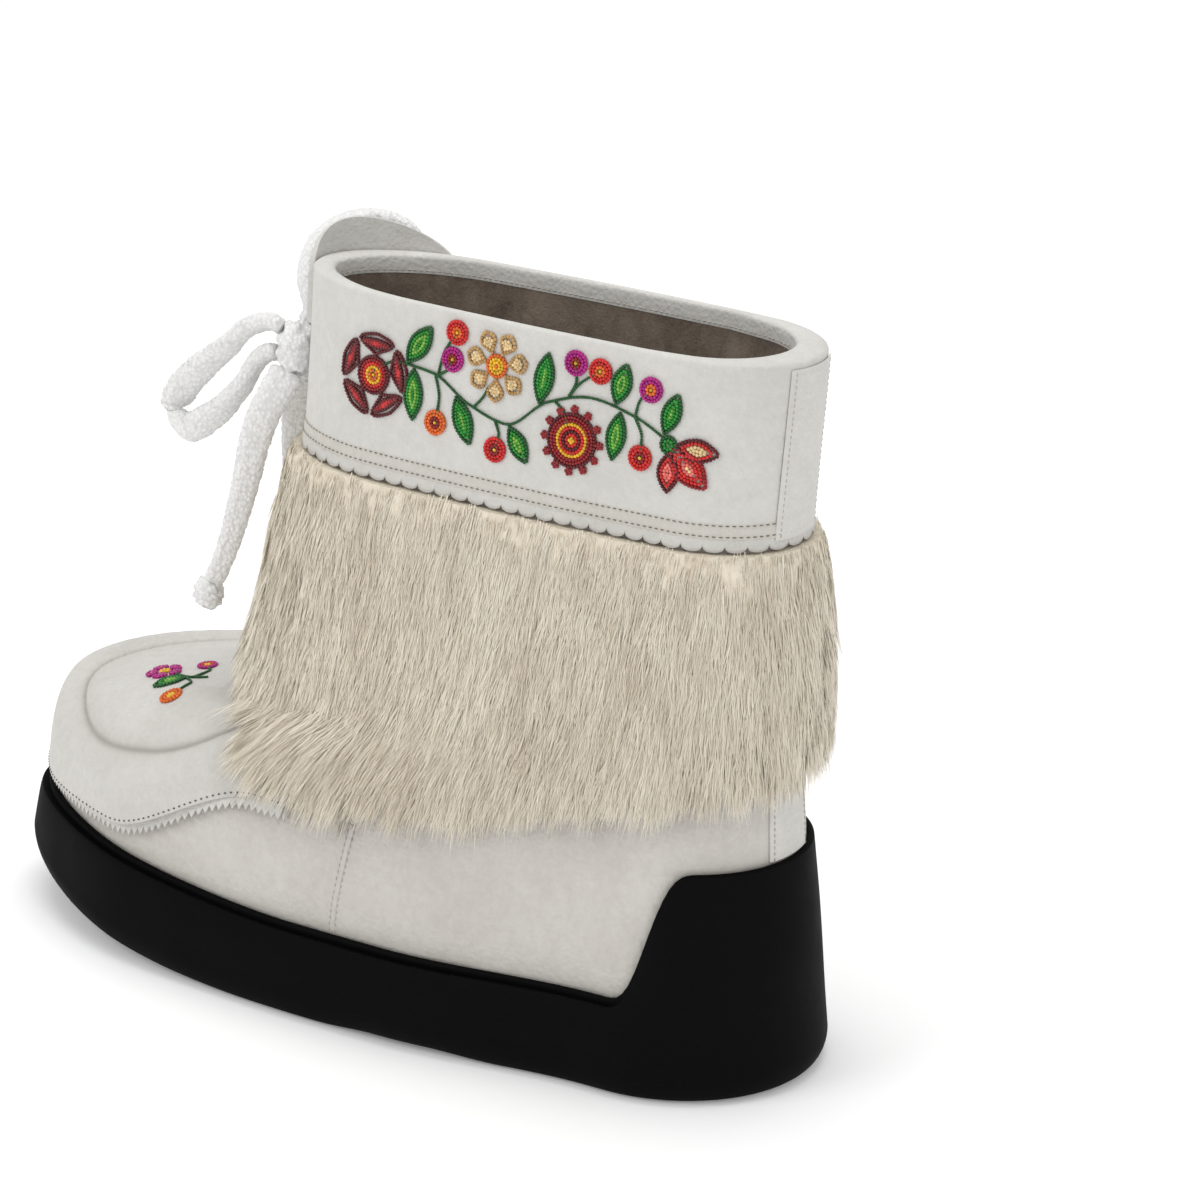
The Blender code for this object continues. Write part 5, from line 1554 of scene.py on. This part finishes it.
class Beadwork:
    """Beads placed in a plan in millimetres: their places, runs, sizes and colours."""

    def __init__(self):
        self.places, self.runs, self.sizes, self.tints = [], [], [], []

    def bead(self, place, run, tint, size=1.0):
        self.places.append(place)
        self.runs.append(run)
        self.sizes.append(size)
        self.tints.append(tint)

    def line(self, points, tint, closed=False, size=1.0):
        """Beads along a line at an even pitch."""
        points = np.asarray(points, float)
        if closed:
            points = np.concatenate([points, points[:1]])
        walked = walked_along(points)
        count = max(int(round(walked[-1] / (BEAD_PITCH * size))), 1)
        at = (np.arange(count) + (0 if closed else 0.5)) / count * walked[-1]
        for distance in at:
            place = [np.interp(distance, walked, points[:, k]) for k in (0, 1)]
            ahead = [np.interp(distance + 0.3, walked, points[:, k]) - place[k] for k in (0, 1)]
            self.bead(place, ahead if math.hypot(*ahead) > 1e-6 else (1, 0), tint, size)

    def stem(self, points, tint=DARK_GREEN):
        """Thin stem through a few points."""
        points = np.asarray(points, float)
        walked = walked_along(points)
        at = np.linspace(0, walked[-1], 60)
        self.line(smooth_between(walked, points, at), tint, size=0.78)

    def disc(self, centre, radius, tints):
        """Berry or heart of a flower: rings of beads, outermost first."""
        reach, ring = radius - BEAD_PITCH / 2, 0
        while reach > BEAD_PITCH * 0.45:
            angles = np.linspace(0, FULL_TURN, 40, endpoint=False)
            self.line(np.stack([centre[0] + reach * np.cos(angles), centre[1] + reach * np.sin(angles)], -1),
                      tints[min(ring, len(tints) - 1)], True)
            reach, ring = reach - BEAD_PITCH, ring + 1
        self.bead(centre, (1, 0), tints[min(ring, len(tints) - 1)])

    def leaf(self, base, tip, width, tints, fullness=0.5):
        """Leaf or petal: rows of beads inside its outline, outermost first."""
        base, tip = np.array(base, float), np.array(tip, float)
        long = np.linalg.norm(tip - base)
        run = (tip - base) / long
        across = np.array([-run[1], run[0]])
        inset, ring = BEAD_PITCH * 0.5, 0
        t = np.linspace(0, 1, 33)
        while width / 2 - inset > BEAD_PITCH * 0.28:
            shape = np.sin(np.pi * t ** (math.log(0.5) / math.log(fullness))) ** 0.85
            ends = min(inset * 1.7, long * 0.42)
            middle = base + run * (ends + (long - 2 * ends) * t)[:, None]
            half = (shape * (width / 2 - inset))[:, None]
            outline = np.concatenate([middle + across * half, (middle - across * half)[-2:0:-1]])
            self.line(outline, tints[min(ring, len(tints) - 1)], True)
            inset, ring = inset + BEAD_PITCH, ring + 1
        if width / 2 - inset > -BEAD_PITCH * 0.35:
            ends = min(inset * 1.5, long * 0.45)
            self.line([base + run * ends, tip - run * ends], tints[min(ring, len(tints) - 1)])

    def flower(self, centre, reach, petals, width, tints, heart, heart_radius, turn=0.0, fullness=0.58):
        """Open flower: petals round a disc."""
        for k in range(petals):
            angle = turn + k / petals * FULL_TURN
            ray = np.array([math.cos(angle), math.sin(angle)])
            inner, outer = np.array(centre) + ray * heart_radius * 0.9, np.array(centre) + ray * reach
            self.leaf(inner, outer, width, tints, fullness)
        self.disc(centre, heart_radius, heart)

    def mesh(self, place_of, side, shape, glass):
        """Mesh of all beads, laid on a surface by place_of(place) -> point and facing."""
        points, ups, runs = [], [], []
        for place, run in zip(self.places, self.runs):
            point, up = place_of(place)
            ahead, _ = place_of((place[0] + run[0], place[1] + run[1]))
            points.append(point)
            ups.append(up)
            runs.append(ahead - point)
        draw = np.random.RandomState(side)
        sizes = np.array(self.sizes) * draw.uniform(0.95, 1.06, len(self.sizes))
        tints = np.array(self.tints) * draw.uniform(0.82, 1.18, (len(self.tints), 1))
        base = point_cloud(points, ups, unit(np.array(runs)), sizes, np.clip(tints, 0, 1))
        return grown(base, placed, {"Shape": shape, "Size": BEAD_PITCH * 1.20 / 1000, "Finish": glass})


def berry_sprig(work, root, places, tints):
    """Berries on short curved stems from one root."""
    for k, place in enumerate(places):
        middle = ((root[0] + place[0]) / 2 + (1.4 if k % 2 else -1.4), (root[1] + place[1]) / 2)
        work.stem([root, middle, place])
        work.disc(place, 4.0, [tints[k % len(tints)]] * 2 + [(CRIMSON, ORANGE, PINK)[k % 3], YELLOW])


def cuff_vine():
    """A traditional floral vine: wild rose, daisy, rosette and bud, with leaves and berries."""
    work = Beadwork()
    for points in VINE_STEMS:
        work.stem(points)
    for base, tip, width, tints in VINE_LEAVES:
        work.leaf(base, tip, width, tints)
    for root, places, tints in VINE_BERRIES:
        berry_sprig(work, root, places, tints)
    work.flower((150, 203), 13.8, 5, 13.6, (MAROON, MAROON, CRIMSON, CRIMSON, RED),
                (MAROON, CRIMSON, RED, YELLOW, ORANGE, YELLOW), 6.2, 0.35, 0.62)
    work.flower((105, 214.5), 11.6, 7, 6.2, (TAN, CREAM, CREAM),
                (ORANGE, YELLOW, YELLOW, ORANGE), 3.8, 0.2, 0.62)
    rosette = np.array([76.5, 197])
    work.disc(rosette, 8.6, (MAROON, CRIMSON, CRIMSON, YELLOW, RED, MAROON, RED, YELLOW))
    for angle in even_turns(12):
        work.disc(rosette + np.array([math.cos(angle), math.sin(angle)]) * 9.5, 1.4, (CRIMSON,))
    for base, tip, width, tints, fullness in BUD_PETALS:
        work.leaf(base, tip, width, tints, fullness)
    work.disc((44, 201.6), 3.0, [DARK_GREEN, GREEN])
    return work


def toe_sprig():
    """Small sprig on the plug: a flower, a leaf and two berries, in millimetres from the plug's front end."""
    work = Beadwork()
    work.stem([(5, 46), (6.5, 39), (5, 33)])
    work.flower((3.5, 27.5), 6.4, 5, 5.2, [MAGENTA, MAGENTA, PINK], [YELLOW], 1.8, 0.3)
    work.leaf((6.2, 39.0), (15.5, 31.5), 7.4, [DARK_GREEN, GREEN, LIME])
    work.stem([(6.3, 41), (-1, 42), (-4, 39)])
    work.disc((-5.6, 37.6), 3.4, [MAGENTA, RED, YELLOW])
    work.stem([(6.0, 37), (12, 44), (17, 44)])
    work.disc((20.0, 43.0), 3.6, [ORANGE, ORANGE, YELLOW])
    return work


PLUG_FRONT = LENGTH * (LENGTHWISE_CENTRE - PLUG_SHARE) - PLUG_LENGTH / 2


def build_beadwork(glass, shape):
    """Beadwork on both sides of the cuff and on the plug."""
    tries = np.linspace(0, math.pi, 241)
    for side, sign, back in (("outer", 1, 0.0), ("inner", -1, 9.0)):
        path = sample(POINTS, 7.6, (tries * sign) % FULL_TURN)
        walked = walked_along(path) * 1000

        def on_cuff(place):
            turn = np.array(np.interp(place[0] - back, walked, tries) * sign % FULL_TURN)
            level = level_at(place[1] / 1000, turn)
            offset = CLEARANCE + CUFF_THICKNESS + 0.00045 + cuff_sag(level, turn)
            return skin(level, turn, offset), facing(level, turn)

        mesh = cuff_vine().mesh(on_cuff, 3, shape, glass)
        new_piece("cuff_beads_" + side, mesh, glass, None, "cuff_leather")

    def on_plug(place):
        level, turn = skin_under(place[0] / 1000 - PLUG_SIDE, PLUG_FRONT + place[1] / 1000)
        level, turn = np.array(level), np.array(turn)
        return skin(level, turn, overlay_relief(level, turn) + 0.0004), facing(level, turn)

    new_piece("toe_beads", toe_sprig().mesh(on_plug, 5, shape, glass), glass, None, "toe_leather")


# The whole boot
bow = tie_the_bow(knit_finish())
placed, rows = placed_tree(), row_tree()
vamp_leather = leather_finish("vamp_leather", (0.595, 0.570, 0.530), (0.520, 0.495, 0.455), 0.76, 620)
toe_leather = leather_finish("toe_leather", (0.605, 0.590, 0.555), (0.540, 0.525, 0.490), 0.72, 620)
cuff_leather = leather_finish("cuff_leather", (0.640, 0.628, 0.595), (0.570, 0.557, 0.525), 0.66, 700)
hem_leather = leather_finish("hem_leather", (0.600, 0.575, 0.530), (0.535, 0.510, 0.460), 0.75, 900)
pile = fleece_finish()
grey_thread = thread_finish("grey_thread", (0.24, 0.205, 0.16), (0.12, 0.10, 0.075))
dark_thread = thread_finish("dark_thread", (0.13, 0.115, 0.10), (0.07, 0.06, 0.05))
soft_thread = thread_finish("soft_thread", (0.50, 0.47, 0.42), (0.36, 0.33, 0.29))
stitch = stitch_shape(0.0013, 0.00042, 0.00034)
dot = stitch_shape(0.0010, 0.0006, 0.0004)
bead = bead_shape()

build_sole(rubber_finish())
build_upper(vamp_leather, pile)
build_footbed(pile)
build_side_seams(soft_thread, vamp_leather, stitch)
build_toe(toe_leather, cuff_leather, dark_thread, dot)
build_cuff(cuff_leather, grey_thread, soft_thread, hem_leather, stitch)
build_stays(cuff_leather, soft_thread, stitch)
build_tab(cuff_leather, soft_thread, stitch)
build_beadwork(bead_finish(), bead)
build_fur(fur_finish("fur_hair", (0.56, 0.475, 0.350), (0.845, 0.785, 0.665)), undercoat_finish())

floor_mesh = mesh_of([(-3, -3, 0), (3, -3, 0), (3, 3, 0), (-3, 3, 0)], [(0, 1, 2, 3)], False)
floor = in_scene("floor", floor_mesh)
paper = Finish("floor_paper", Roughness=0.9, Specular_IOR_Level=0.1, Base_Color=(0.96, 0.96, 0.96, 1),
               Emission_Color=(1, 1, 1, 1), Emission_Strength=0.13)
floor_mesh.materials.append(paper.material)
floor_mesh.transform(Matrix.Translation((0, 0, -0.0002)))

world = bpy.data.worlds.new("studio")
world.use_nodes = True
world.node_tree.nodes["Background"].inputs["Color"].default_value = (1, 1, 1, 1)
world.node_tree.nodes["Background"].inputs["Strength"].default_value = 0.66
bpy.context.scene.world = world
soft_light("overhead", (-0.25, -0.2, 1.9), 1.4, 14.5)
soft_light("key", (1.5, -0.9, 1.4), 1.0, 10)
soft_light("fill", (0.8, 1.9, 0.9), 1.4, 6)
bpy.context.scene.view_settings.view_transform = "Standard"

for obj, node, slot in made:
    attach(obj, "root")
    if node:
        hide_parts(node)
for cord, path, far_end, with_pieces in bow:
    length = float(np.linalg.norm(np.diff(path, axis=0), axis=1).sum())
    "loose" if far_end == "object" else "hanging"
